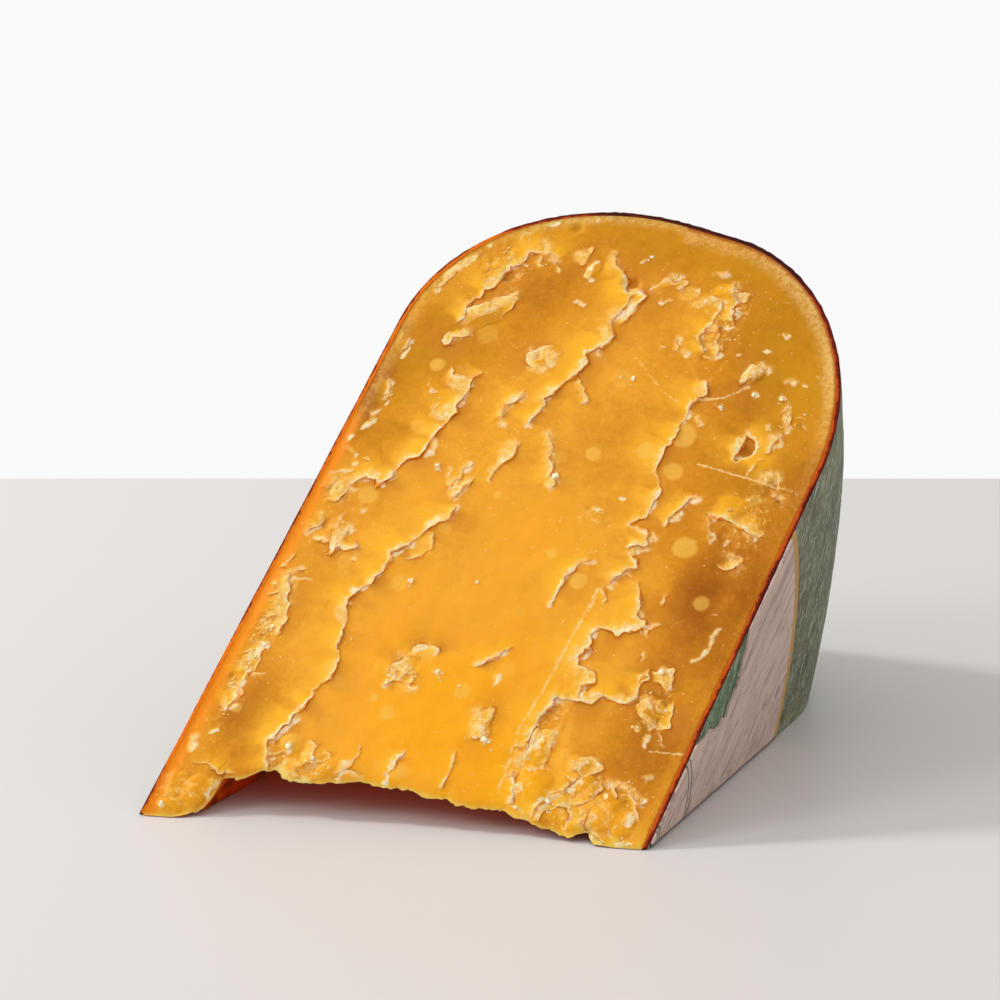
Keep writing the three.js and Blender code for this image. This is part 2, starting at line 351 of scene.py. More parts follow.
# Tears in the cut face: lift, reach of the pale band behind the edge, and the places [across, out] on it.
# The cheese stands proud on the right hand of someone who walks along it.
tears = [
    (0.9, 1.2, [(-27.3, 144.9), (-29.4, 146.3), (-33.8, 144.9), (-35.9, 145), (-36.9, 141), (-38.9, 139.2),
        (-39.4, 136.6), (-40.7, 131.8), (-42.8, 131.1), (-41.9, 128.2), (-44, 127.5), (-44.9, 124.8),
        (-44.2, 121.1), (-46, 118)]),
    (0.9, 3.0, [(-46.7, 112.9), (-44.2, 121.1), (-44.4, 123.8), (-42.5, 125.7), (-38.7, 128.9),
        (-34.2, 132.9), (-32.9, 130.6), (-33.9, 126.7), (-35.8, 123.3), (-38.8, 119.9), (-40.8, 117.6),
        (-40.8, 116.1), (-43.7, 114.7), (-43.5, 112.8), (-45.1, 111.8), (-46.7, 112.9)]),
    (1.3, 1.7, [(-32.5, 108.5), (-34.1, 104.5), (-33.5, 102.4), (-33.9, 99.6), (-34.6, 97.4), (-34.3, 94.5),
        (-35.2, 91.1), (-36.2, 88.2), (-36.4, 84), (-37.1, 79.1), (-40.1, 76.9), (-41.4, 72.3),
        (-43.7, 67.7), (-44.9, 69.5), (-47.6, 70.1), (-49.4, 67.5), (-50.9, 66.2), (-50.6, 64.1),
        (-51.8, 60.3), (-54.6, 59.7)]),
    (0.6, 2.0, [(-41.5, 106), (-40.4, 106.9), (-39.5, 104.1), (-34.6, 104.1)]),
    (0.7, 2.4, [(-21.4, 112.8), (-23.5, 114.4), (-24.2, 116.8), (-22, 118.8), (-19.5, 120.8),
        (-16.5, 121.1), (-15.5, 118.8), (-17.1, 115.5), (-16.8, 113.3), (-18.6, 111.1), (-21.4, 112.8)]),
    (0.8, 1.6, [(-20, 107.5), (-19.4, 104.7), (-21.9, 101.9), (-23.2, 100.3), (-22.5, 97.9),
        (-20.7, 95.1)]),
    (0.9, 1.2, [(-9.6, 110.9), (-12.4, 109.5), (-13.7, 105.6), (-12.5, 104.5), (-14.1, 101.3), (-15.1, 99),
        (-15.1, 96.7)]),
    (0.4, 1.6, [(-53.1, 129.1), (-56, 127.7), (-54.4, 133.4), (-51.5, 137.6), (-48.6, 140.6),
        (-48.7, 137.7), (-51.5, 133.2), (-53.1, 129.1)]),
    (0.4, 0.6, [(-57.4, 113.4), (-57.6, 108.1)]),
    (0.4, 0.6, [(-54.3, 112.3), (-54.4, 105.5)]),
    (0.5, 0.8, [(-54.5, 98.7), (-52.6, 93), (-52.9, 90)]),
    (0.8, 1.8, [(-54.4, 56.4), (-53.1, 55), (-53, 52.8), (-55.9, 48.8)]),
    (0.8, 2.2, [(-49.5, 53.3), (-47.6, 55.1), (-45.8, 53.5), (-41.5, 51), (-41.1, 49.3), (-43.4, 48.5),
        (-46.3, 48.9), (-47.2, 46.4), (-48.7, 49.5), (-49.5, 53.3)]),
    (0.8, 2.0, [(-54.5, 38), (-53.3, 36.4), (-51.2, 33.6), (-50.9, 30.8), (-49.3, 27), (-48.4, 23.7),
        (-49.5, 20)]),
    (0.8, 1.4, [(-50.5, 17), (-51, 13), (-50.2, 9), (-51.6, 5.5), (-51, 1), (-53, -3)]),
    (1.1, 1.1, [(-22, 69.9), (-22, 67), (-23.3, 64.6), (-25.9, 62.2), (-27.3, 58.7), (-28.6, 55),
        (-32.3, 52.1), (-32.3, 50.7), (-30.9, 49.7), (-32.3, 47), (-33.7, 42.9), (-35.8, 38.8),
        (-36.4, 36.4), (-36.2, 33.2), (-34.4, 31), (-34.6, 27.7), (-32, 20.5), (-31, 15), (-33, 11),
        (-34, 5), (-36.5, 0), (-38.5, -6), (-36, -12), (-35, -15)]),
    (0.8, 1.6, [(-23.2, 83), (-24.4, 80), (-23.6, 77.1), (-25.4, 76.5), (-26.1, 72.9), (-28.5, 74.5)]),
    (0.6, 1.4, [(-20.5, 79.5), (-22.6, 74), (-24.5, 69.4)]),
    (0.7, 1.2, [(-25.1, 61.4), (-24, 59.6), (-23.3, 56), (-24.5, 53.2), (-28.8, 51.2)]),
    (0.8, 2.2, [(-13.5, 92.5), (-14.6, 90.9), (-14.9, 87), (-16.4, 83.5), (-17.5, 80.8), (-16, 78)]),
    (1.0, 1.4, [(-15.5, 151.8), (-13.8, 150.4), (-11.6, 148.4), (-8, 146.5), (-8.3, 144), (-7.3, 142.4),
        (-4.7, 142.9), (-4.1, 144.7), (-1.6, 142.8), (-2.4, 139), (-3.7, 134.3), (-5.5, 131.5)]),
    (1.3, 1.6, [(-4.7, 142.9), (-5.2, 137.7), (-7.6, 132.2), (-6.5, 130.6), (-4.8, 128.9), (-5.4, 127.1),
        (-4.6, 126.2), (-5.8, 124.3), (-7, 124.6), (-9.9, 122), (-9.6, 120.6), (-8.2, 118.8), (-8.5, 115.6),
        (-10.4, 112.3), (-12.6, 109.6), (-13.8, 106.1), (-12.1, 104)]),
    (0.7, 1.8, [(-8.5, 115.1), (-5.1, 111.9), (-3.2, 108.3), (-4.1, 105.8)]),
    (1.0, 1.9, [(-9.5, 98), (-8.4, 96), (-6, 94), (-5.2, 91), (-4, 88.5), (-3.6, 86), (-1.3, 84),
        (-2, 81.5)]),
    (0.6, 2.6, [(-19.5, 147.5), (-17.6, 149.4), (-15.9, 147.8), (-16.9, 145), (-18.9, 142.9),
        (-20.2, 144.5), (-19.5, 147.5)]),
    (0.6, 1.8, [(-23.2, 150.5), (-21.2, 152.2), (-20.4, 149.7), (-21.8, 146.5), (-23.6, 145.8)]),
    (0.6, 1.6, [(-2.1, 144.6), (0, 146.9), (0.9, 149.6), (3.4, 149.3), (6, 151.3), (7, 149), (4, 147)]),
    (1.0, 1.6, [(17.4, 154.7), (19.2, 152.2), (23, 151.9), (22.2, 148.2), (20.7, 146.9), (21.3, 144.8),
        (23.4, 142), (21.9, 141.5)]),
    (0.9, 1.2, [(17.8, 145.9), (17.1, 141.8), (16.1, 136.4), (17.4, 134), (19.2, 131.9)]),
    (0.9, 1.2, [(18.4, 142.3), (21, 137.8), (22.4, 133.2), (21.5, 130.4)]),
    (1.3, 1.4, [(23.3, 125), (24.3, 120.1), (21.8, 117.4), (21.9, 114.8), (22.6, 112.4), (22, 110.7),
        (21.9, 103.9), (20.5, 100.8), (20.9, 96.1), (23.2, 93.2), (24.1, 91.7), (23.6, 86.7), (23.9, 83.1),
        (22.6, 82.3), (21.5, 80.5), (24, 79.4), (26.4, 79), (27, 76), (22, 72.5)]),
    (1.0, 1.8, [(24.5, 73), (26.5, 70.9), (27.7, 68.8), (25.5, 67.3), (23.9, 64.9), (23.4, 61.5)]),
    (0.8, 2.0, [(30.6, 127.3), (32, 132.7), (36.3, 132.7), (35.4, 130.1), (33.6, 128.8), (32, 125.5),
        (30.6, 127.3)]),
    (0.9, 1.0, [(38.5, 113.1), (37.5, 106.1), (38.3, 105.6), (41.8, 108.4), (42, 111), (40.2, 113),
        (38.5, 113.1)]),
    (0.6, 1.0, [(45.7, 126.9), (45.1, 124), (44.4, 121)]),
    (0.6, 1.0, [(47.3, 122.9), (47.2, 120), (46.8, 117.4)]),
    (0.6, 1.2, [(47.2, 116.6), (45.9, 113.5), (46.5, 111.2), (44.5, 110.2)]),
    (0.8, 1.6, [(33.9, 93.6), (31.9, 88.9), (30.6, 85.9), (29.1, 81.4)]),
    (0.7, 1.6, [(38, 89.6), (39.9, 85.6), (42.2, 80.7)]),
    (0.9, 1.6, [(53.2, 88.9), (52.1, 86.7), (47.4, 87.9), (44.4, 88.7), (42.6, 89.1), (37.5, 88.8)]),
    (0.8, 2.0, [(49.3, 81), (51.2, 80.3), (50.6, 77.9), (49.6, 75.7), (47.5, 75.3), (45.5, 77)]),
    (0.9, 1.4, [(16.3, 67.8), (13.7, 64.8), (11.3, 60), (12.4, 56.7), (11.8, 54.4), (11.7, 50.5)]),
    (0.7, 1.0, [(21.6, 62.9), (23.1, 59.9), (24.1, 56.1)]),
    (1.3, 1.7, [(28.4, 66), (31.4, 61.9), (32.8, 58.8), (32.3, 56.9), (34.1, 56.4), (35.2, 56.9),
        (35.2, 54.7), (34.2, 53.3), (31.2, 51.8), (30.1, 49.3), (28.4, 50.1), (25.4, 50.4), (24.5, 47.9),
        (25.3, 44.7), (26.9, 43.1), (25.3, 44), (24.1, 41.4), (24.9, 38.9), (29.5, 38.8), (30.1, 35.9),
        (29.7, 34.7), (27.3, 34.8), (28.3, 31)]),
    (0.9, 1.6, [(40.8, 44.7), (42.4, 41.8), (40.9, 39.2), (41.2, 36.5), (40.1, 33.6), (37.5, 33.7),
        (34.2, 33.9), (32, 31.7), (28.9, 30.5), (25.2, 30.2), (23.5, 28.9), (23.5, 26.1), (21.8, 24),
        (21.6, 21.5), (21.8, 18.1)]),
    (0.7, 1.8, [(42.7, 44), (47.2, 47.1), (48.6, 43.1), (49.3, 39.1), (46.8, 41.3), (43.8, 42.3),
        (42.7, 44)]),
    (0.8, 2.4, [(42.5, 34.2), (43.8, 37.1), (49.8, 38.6), (52.7, 32.1), (50.7, 29.9), (46.6, 30.5),
        (44.6, 31.5), (42.5, 34.2)]),
    (0.8, 2.2, [(23.5, 8.6), (22.2, 11.5), (22.4, 16.8), (22.7, 19.7), (25.9, 21.2), (28.2, 19), (28, 13.7),
        (28.4, 10.8), (23.5, 8.6)]),
    (0.8, 1.8, [(34.9, 13.5), (34.9, 17), (38.4, 17.9), (41.1, 16.9), (41.7, 16.1), (38.4, 12.1),
        (36.5, 12.1), (34.9, 13.5)]),
    (0.9, 1.4, [(38.6, 13.2), (35.3, 7.5), (32.2, 4.3), (30.2, 0.2), (30.5, -3.4)]),
    (0.7, 1.8, [(42.2, 13.2), (43.2, 11.2), (42.6, 8.2), (41.2, 5.7), (38.5, 4.6), (37, 6)]),
    (1.0, 1.4, [(42.6, 6), (43.6, 2.5), (43.7, 1.5), (45.1, -0.3), (47.9, -2.3), (51.2, -2.7)]),
    (0.6, 0.9, [(23.1, 9.1), (22.7, 6.2), (23.2, 3), (24.5, -1.6)]),
    (0.8, 1.6, [(39.7, -2.9), (39, 2.1), (36.8, 4), (33.5, 1.4), (32.7, -0.9), (31.7, -3)]),
    (0.6, 1.0, [(46.4, 11.2), (50, 12.4), (52.4, 11.2), (56, 9.7)]),
    (0.6, 1.8, [(7.3, 18.2), (10.3, 22), (10.5, 19.3), (10.4, 16.8), (11, 11.6)]),
    (0.5, 0.6, [(23.8, 29.8), (21.7, 23.5), (21.6, 19.3), (21.6, 16.5), (22.1, 10.8)]),
    (0.4, 0.5, [(8.5, 39), (7.5, 37), (3, 33.5), (1.5, 29)]),
    (0.5, 0.7, [(-5, 4), (-5.5, 2), (-7.5, -6)]),
    (0.4, 0.5, [(6.5, 8), (7.3, 1), (7, -4)]),
    (0.6, 1.0, [(-42, -17), (-46, -18.6), (-50, -17.6), (-55.5, -18.5)]),
    (0.7, 1.6, [(-30, -1), (-26.5, -3), (-25.8, -7), (-28, -11)]),
    (0.6, 1.4, [(-17, 1), (-15.5, -2), (-17, -6), (-20, -10)]),
    (0.9, 2.2, [(-19, 21.8), (-18.3, 23.8), (-17, 26.1), (-15.1, 29.3), (-13.9, 31), (-10, 31.1),
        (-8.7, 28.4)]),
    (0.6, 2.0, [(-13.1, 25), (-11.9, 20.9), (-16.1, 20), (-18.5, 17)]),
    (0.7, 1.4, [(7.5, 37.6), (5.1, 34.2), (2.1, 32.1), (1, 29.5)]),
    (0.8, 3.0, [(5.8, 14.8), (6.6, 18.9), (10.2, 22.4), (11.6, 17), (11.9, 13.6), (9.5, 12), (5.8, 14.8)]),
    (0.6, 1.0, [(10.4, 133.6), (12.4, 131.4), (11.8, 129.2)]),
]
tearShape = {
    "liftShare": 0.42,  # of the lifts in the list
    "shortReach": 0.9,  # millimetres over which the height beside a short tear dies out
    "longReach": 5.5,
    "toneReach": 6.0,  # the same for the tone, at the most
    "proudShare": 0.62,  # of the lift; the rest is how far the low side drops
    "taper": 2.6,  # millimetres over which the ends die out
}

# Pale crystals under the cut: across, out, radius, how strongly they show
crystals = [
    (-36.1, 118.4, 3, 0.5), (-44.5, 105.9, 2.2, 0.8), (-37.9, 106.6, 2.5, 0.25), (-41, 87.2, 2.7, 0.5),
    (-44.8, 64.7, 3, 0.7), (-42.3, 45.3, 2.4, 0.5), (-41.4, 42.5, 1.8, 0.4), (-22.3, 62.8, 2, 0.5),
    (-25.1, 55.9, 3, 0.6), (-26.7, 44.7, 2.6, 0.5), (-13.9, 75.9, 1.4, 0.6), (-3.3, 91.6, 2, 0.5),
    (4.3, 95.3, 2.3, 0.8), (16.4, 100.3, 2.6, 0.8), (25.2, 97.2, 2.7, 0.8), (23.3, 107.8, 3.4, 0.9),
    (8, 146.9, 2.7, 0.7), (2.1, 117.8, 3, 0.5), (36.4, 78.4, 3.3, 0.9), (46.4, 65.3, 2.3, 0.7),
    (47.4, 96.6, 1.8, 0.6), (15.2, 60.9, 2.5, 0.9), (4.9, 47.8, 1.8, 0.3), (0.8, 22.8, 2.2, 0.7),
    (8.6, 32.2, 2.5, 0.4), (-11.3, 28.9, 2.2, 0.6), (-18.9, 13.4, 1.3, 0.8), (-14.2, 10.9, 2.2, 0.7),
    (-29.5, 14.5, 2.2, 0.4), (-33, -4.5, 3, 0.5), (-26.5, -6, 2.5, 0.6), (-10.4, -2.2, 2, 0.4),
    (-4.5, -2.2, 2.6, 0.6), (-22.9, 148.4, 2.2, 0.8), (20.5, 138.4, 2, 0.4), (31.4, 16.6, 1.6, 0.5),
    (48.6, 13, 2, 0.3), (34, 24, 2.4, 0.15), (-49.8, -1, 1.5, 0.7), (6.1, 65.3, 1.5, 0.9),
]

# Smooth rounded lumps: across, out, reach across, reach out, height
nodules = [
    (46.4, 5, 4.4, 4.6, 0.9), (51.5, 4, 3.2, 4, 0.6), (36.4, 0.9, 3, 2.4, 0.6), (39.6, 10.5, 2.8, 3.2, 0.8),
    (27.7, 6, 4.2, 4.8, 0.8), (35.6, 14.8, 2.6, 2.3, 0.6), (45.8, 34.5, 3.6, 4, 0.9),
    (45.8, 43.5, 2.4, 2.4, 0.3), (26, 18, 2.2, 3.2, 0.6), (24.5, 12.4, 2.2, 2.6, 0.5),
    (-33, -5, 3, 2.8, 0.5), (-26.5, -6.2, 2.6, 2.4, 0.5), (-29.5, -10.4, 3, 2, 0.4),
    (-22, -8.4, 2.4, 2.2, 0.4), (-55.5, -24.5, 3.2, 4.5, 0.7), (-50, -24, 3.4, 4.4, 0.7),
    (-54.5, -30.5, 3.4, 2.6, 0.7), (-47.8, -22.5, 2.2, 3.2, 0.5), (16.8, 150.9, 3, 2.4, 0.4),
    (-17.6, 145.9, 1.5, 2.8, 0.4), (33, 130.5, 2.4, 3.4, 0.4), (43.9, 94, 4.4, 2.6, 0.4),
    (41, -1.2, 2.6, 2, 0.5), (31.5, 0, 2.6, 2.4, 0.5), (-49.5, -29, 2.2, 2, 0.4),
]

# Dry cream-coloured flakes and crumbled strips: reach to each side, and the places [across, out] on the way
palePatches = [
    (1.6, [(22.5, 15.5), (21.8, 10.5)]), (2.2, [(-54, 36), (-52.3, 31), (-51.8, 27), (-52.8, 23)]),
    (1.0, [(-51.5, 18), (-52.4, 14.5), (-53, 11.8)]), (1.3, [(-54.4, 10.8), (-52, 9.6)]),
    (0.8, [(-52.2, 7), (-51.6, 3)]), (1.0, [(-54, 0), (-52.7, -1.6), (-51, -0.6)]),
    (0.6, [(-53.2, -9), (-52.2, -7.8)]), (1.2, [(-56.2, -12), (-55.8, -14.6)]), (1.0, [(-55.8, -31)]),
    (1.1, [(-46.2, -20.5), (-46.5, -24)]), (0.7, [(-36.7, 34.7), (-37.6, 31), (-35.4, 28.8)]),
    (1.2, [(-37.6, 34), (-35.6, 29.6)]), (1.2, [(-34.8, 2), (-36.9, -2.5), (-37.9, -5.3)]),
    (1.3, [(-37.4, -8), (-36.4, -11.5)]), (0.9, [(-33, -6)]), (1.4, [(-27.5, -5.5), (-25.5, -7.5)]),
    (1.3, [(-33, -11.5), (-29, -12.6), (-25, -12)]), (0.9, [(-17.9, -4.7), (-18, -9)]),
    (0.6, [(-5.8, 3.1), (-7, -0.3), (-7.3, -2.8), (-7, -6)]),
    (1.0, [(-14, 29.5), (-12.5, 31.2), (-10.2, 30.6)]), (2.4, [(-16.6, 25.6), (-15, 23)]),
    (0.8, [(-17.8, 22.4), (-16, 20.2)]), (1.1, [(-17.6, 18.1)]), (1.2, [(-7, 25.6)]),
    (1.0, [(1.1, 31.3), (2.7, 32.4), (4.8, 34.4), (6.6, 36.8)]), (0.9, [(7.2, 30), (7.6, 27.6)]),
    (2.0, [(7, 19), (8.5, 17), (8.3, 14.5)]), (0.8, [(10.4, 13), (12.4, 12.6)]),
    (1.2, [(28.5, 34.7), (28.6, 31.4), (25, 30.2), (22.9, 28.6)]), (0.8, [(22.4, 27), (21.6, 22.5)]),
    (1.4, [(26.4, 21), (27.2, 17.4)]), (1.1, [(23.4, 19), (23.2, 16.4)]),
    (0.6, [(21.2, 15.9), (22.4, 12.2), (23.3, 9.3)]), (0.8, [(24.4, 9.4), (27.4, 10.8)]),
    (1.5, [(36.4, 15.8), (35.2, 14)]), (1.2, [(39.4, 16.8)]),
    (0.8, [(37.9, 11.2), (34.2, 6.4), (32.6, 3.4), (31.4, 0.9)]),
    (0.9, [(23.5, 5), (24, 1), (26, -1), (29, -2.6)]), (1.0, [(44, 3), (45, 0), (48.3, -2)]),
    (1.2, [(44.6, 12.8), (48.9, 13.8), (53.6, 11.2)]), (1.2, [(52.7, 17.8)]),
    (0.9, [(48.6, 27.6), (48.3, 25.4)]), (0.7, [(45.2, 9.7)]), (1.0, [(54.4, 0), (52, -1)]),
    (1.0, [(52.7, 7), (52.5, 4.6)]), (2.2, [(-38.2, 102.4), (-36.2, 101.6)]),
    (1.3, [(-34.3, 103.4), (-34.8, 97.4)]), (1.7, [(-36.2, 95), (-37.4, 91.6)]),
    (0.8, [(-39.6, 94.4), (-39.4, 91.8)]), (0.9, [(-36.9, 88.5), (-35.3, 81)]),
    (0.9, [(-41.6, 73.4), (-43, 69.2)]), (1.3, [(-46, 71.2), (-49, 69), (-51.2, 66.8)]),
    (2.5, [(-53.8, 65.4), (-52.7, 62.4)]), (0.6, [(-57, 68), (-51.4, 69.4)]), (1.0, [(-44.8, 61.2)]),
    (1.0, [(-54.4, 56), (-53.4, 53), (-54.8, 50.4)]), (1.3, [(-49, 53.6), (-47.8, 51.2), (-45.6, 54.4)]),
    (0.9, [(-47.5, 48.2), (-44.4, 49.4), (-41.6, 50)]), (0.5, [(-54.2, 97.2), (-52.6, 93.4), (-52, 90.9)]),
    (0.9, [(-53.9, 87.6), (-53.4, 84.8), (-54.4, 82.3)]), (0.9, [(-57, 79)]),
    (0.5, [(-56.5, 76), (-52.6, 74.8)]), (0.8, [(-52.7, 72)]), (0.7, [(-42.6, 97.9)]),
    (1.1, [(-31.7, 78.4)]), (0.5, [(-28.6, 79.1), (-27.3, 75.9), (-26, 73.4)]),
    (1.0, [(-25.7, 76.6), (-25.4, 74.6)]), (1.2, [(-25, 79.9), (-24.2, 81.8)]),
    (1.2, [(-22.8, 76.4), (-23.5, 71.6)]),
    (1.0, [(-22.1, 69.3), (-22.9, 65.9), (-25.6, 64.5), (-26.8, 61.6)]),
    (1.1, [(-28, 58), (-28.4, 55.6), (-31, 53.2)]), (1.1, [(-32, 52.4), (-31.8, 49.6)]),
    (0.9, [(-33, 46), (-34, 42.8), (-36.7, 38.6)]),
    (1.3, [(-20, 104.8), (-22.4, 101.4), (-22.9, 98.6), (-21.4, 95.4)]),
    (1.0, [(-13.2, 108), (-13.8, 104), (-14.9, 99.7), (-15.3, 97)]), (1.9, [(-15.6, 90.6), (-17, 88)]),
    (1.0, [(-17, 86), (-17.7, 81.6)]), (1.4, [(-9.4, 96.8), (-7.4, 94.4), (-6, 91), (-3.8, 87.4)]),
    (1.5, [(-3, 86.6), (-2.2, 83)]), (0.9, [(23.5, 90.6), (23.9, 87), (23.2, 83.4)]),
    (1.2, [(33.8, 92.2), (31.3, 90.4), (31.4, 86.8), (29, 83.6)]),
    (1.2, [(39.6, 89.2), (42.7, 89.8), (46.4, 88.6), (49.6, 88), (51.8, 86.9)]),
    (2.0, [(47.2, 103.6), (49.6, 104.2)]), (2.0, [(48.6, 79.4), (50.4, 77.6)]),
    (0.7, [(41.2, 84.6), (41.6, 82.4)]), (0.7, [(45.8, 84), (45.6, 82)]),
    (1.6, [(27, 78), (26.6, 75), (24.6, 73.2)]), (1.1, [(27, 69.2), (24.2, 66), (22.9, 62.6)]),
    (1.0, [(29.8, 63.8), (32.1, 59), (34.4, 56.2), (33.2, 54.2), (30.4, 51.8)]),
    (0.8, [(24.8, 50.3), (24, 47.2), (25.6, 44.2), (24.8, 41)]), (1.5, [(27.2, 39), (28, 36.4)]),
    (0.8, [(31, 33), (34, 34.2), (40, 34.8), (41.4, 37)]), (1.3, [(44.6, 45.4), (45.2, 43.6)]),
    (1.2, [(47.4, 43.4), (48.2, 41.8)]), (0.9, [(43.4, 36.6), (44.6, 32.4), (47.6, 31)]),
    (0.6, [(16.4, 66.9), (13.3, 65.3), (11.4, 60.9), (11.8, 57.2), (11.4, 51.6)]), (1.0, [(11, 80.9)]),
    (0.4, [(16.4, 86.4), (15.8, 85.2)]), (0.6, [(53.3, 60.3), (52.7, 54.7), (50.8, 50.3)]),
    (1.5, [(-49.8, 139.1), (-52.3, 135.3), (-54.2, 131.6)]), (1.3, [(-54.5, 127.2)]),
    (0.9, [(-47.3, 143.4)]), (0.9, [(-34.6, 155.2), (-33.2, 155.6)]), (1.0, [(-23.6, 160.3)]),
    (1.5, [(-41, 136.8), (-42.8, 132.2)]), (1.0, [(-36.2, 144.7), (-37, 141.8), (-38.8, 139.7)]),
    (1.5, [(-33.6, 149.4), (-31.8, 147.2), (-28.8, 145.4)]),
    (2.0, [(-34.4, 132.2), (-36.9, 128.8), (-39.8, 125.9), (-42.3, 122.8)]),
    (1.1, [(-44.4, 123.2), (-44, 121.6)]), (1.5, [(-41.4, 117.4), (-45.2, 113.6)]),
    (0.6, [(-54.2, 109.8), (-54.2, 105.3)]), (1.8, [(-22.9, 148.6)]),
    (0.8, [(-18.6, 148.6), (-19, 144), (-17.4, 143)]), (1.2, [(-15, 151.6), (-12.9, 148.6), (-9.6, 146.4)]),
    (0.9, [(-8.6, 144), (-6.4, 142.8), (-4, 143.8)]), (0.7, [(-5.1, 140.4), (-5.6, 136.6), (-7.6, 132.2)]),
    (1.6, [(-8.2, 130.2), (-6.2, 127), (-7.6, 123.6)]), (0.9, [(-9.6, 120), (-9.8, 116)]),
    (0.9, [(-8.2, 113.2), (-6, 111.4), (-4.6, 108.4)]),
    (1.7, [(-22.6, 117.4), (-20, 118.8), (-17.6, 118), (-18, 113.4), (-21, 113)]),
    (0.5, [(-18.3, 135.4), (-16.4, 135)]), (0.5, [(-6.7, 152.2)]), (0.4, [(-5.1, 154.1)]),
    (1.3, [(2.2, 150.6), (4.6, 151.2)]), (1.0, [(5.4, 148.4)]), (0.8, [(-1.4, 145.9)]),
    (0.7, [(2.4, 142.2)]), (1.2, [(13.6, 155), (15, 155.8)]),
    (1.1, [(18.3, 153.6), (20, 151.6), (21.8, 150.4), (22.8, 152)]), (1.6, [(13, 146), (12, 145)]),
    (1.2, [(16.8, 146)]), (0.5, [(17.2, 144), (16.4, 138.4), (17, 135.3), (18.9, 132.9)]),
    (0.6, [(20, 146), (21.6, 143.4), (23.3, 141.8), (20.6, 141.4)]), (1.3, [(21.2, 134.6), (22.2, 132.4)]),
    (1.0, [(11.2, 133.4), (11.8, 130.6)]), (1.3, [(14.4, 130.4)]), (0.5, [(8, 129.6)]),
    (1.8, [(22.4, 123), (22.6, 121)]), (0.8, [(21.4, 117.6), (22.1, 111.6)]),
    (1.1, [(24.6, 113.4), (25.8, 112.2)]), (0.9, [(29.3, 118.4)]),
    (1.7, [(35.4, 133), (32.8, 131.6), (31.8, 128.2)]), (0.8, [(35.5, 124.8)]), (1.0, [(42.7, 126)]),
    (1.0, [(42.2, 131.2), (44, 131.6)]), (0.6, [(46.8, 131.3)]),
    (0.9, [(44.9, 123.8), (46.4, 120.2), (47.4, 118.2)]), (0.6, [(42.4, 117.2)]),
    (1.4, [(44.6, 114.8), (45.6, 112.8)]), (0.7, [(46.6, 116), (47, 113)]),
    (0.8, [(36.6, 111.6), (36.8, 108), (38.4, 106.2), (40.6, 107.6)]), (0.8, [(36.4, 143.6)]),
    (0.7, [(33.9, 138.1)]), (0.4, [(27.7, 134.7)]),
]

# Fine scratches: how strongly they show, and the places that they pass
scratches = [
    (0.4, [(-5.1, 100.2), (14, 100.8)]), (0.85, [(30, 101.4), (57.4, 102.1)]),
    (0.65, [(3, 124.8), (13.9, 117.7), (19.6, 115.7)]), (0.95, [(23.2, 118.5), (29, 121.4), (33.6, 126.6)]),
    (0.55, [(47.5, 122.2), (56.5, 123)]), (0.5, [(46.5, 135.1), (51.3, 134.8)]),
    (0.3, [(-0.4, 115), (9.2, 102.7)]), (0.3, [(1.6, 123.2), (10.4, 103.1)]),
    (0.35, [(-13.1, 101.1), (8, 100.1)]), (0.8, [(20.5, 60.3), (19.7, 34.8), (18.1, 18.6), (20.3, 1.5)]),
    (0.65, [(21.8, 61.2), (19.2, 37.7), (19.6, 26.1), (19.9, -1.2)]), (0.8, [(50.2, 24.1), (59, 26.3)]),
    (0.5, [(30.8, 110.6), (31.4, 108.8)]),
]

# Salt-white grains: across, out
whiteDots = [
    (4.9, 118.8), (-31.7, 78.4), (-23.9, 46.3), (-7, 25.6), (-17.6, 18.1), (11.4, 12.8), (12.7, 12.5),
    (32.7, 3.4), (44.6, 44.7), (35.5, 124.7), (42.7, 125.9), (29.3, 118.4), (-5.1, 154.1), (-42.6, 97.9),
    (-32.9, -5.9), (-26, -6.7), (-55.8, -30.9), (-37.9, -5.3), (25.8, -0.9), (-2.3, 85.9), (-51.4, 17.4),
    (-51.5, 22.4),
]

# Small pits: across, out, radius, depth
pits = [
    (-7, 145, 2.3, 1.3), (-21.1, 116.6, 1.0, 0.9), (39.8, 108.8, 1.9, 1.0), (50.2, 102.2, 1.4, 0.7),
    (-27, 156.2, 1.8, 0.6), (-38, 136.8, 2.4, 0.5), (-44, 126.2, 1.8, 0.5), (-52, 53.6, 2.0, 0.7),
    (46, 84.5, 3.0, 0.5), (-55, 6.6, 0.7, 0.6),
]

# Broken ground: across, out, reach across, reach out, depth, size of its crumbs
roughGround = [
    (42, 5, 16, 12, 0.55, 5.6), (46.5, 34, 6, 7, 0.5, 4.0), (-53, 18, 3.2, 26, 0.6, 2.2),
    (20, 140, 6, 13, 0.5, 2.4), (-40, 138, 8, 10, 0.4, 2.6), (49, 92, 7, 14, 0.4, 2.2),
    (25, 20, 5, 18, 0.4, 2.6), (-28, -8, 11, 6, 0.5, 3.0), (-15, 24, 4.5, 4.5, 0.5, 1.6),
    (-53, 64, 4, 5, 0.4, 1.6), (12, 79, 6, 4, 0.15, 1.4), (-52, -26, 8, 8, 0.3, 2.6),
]

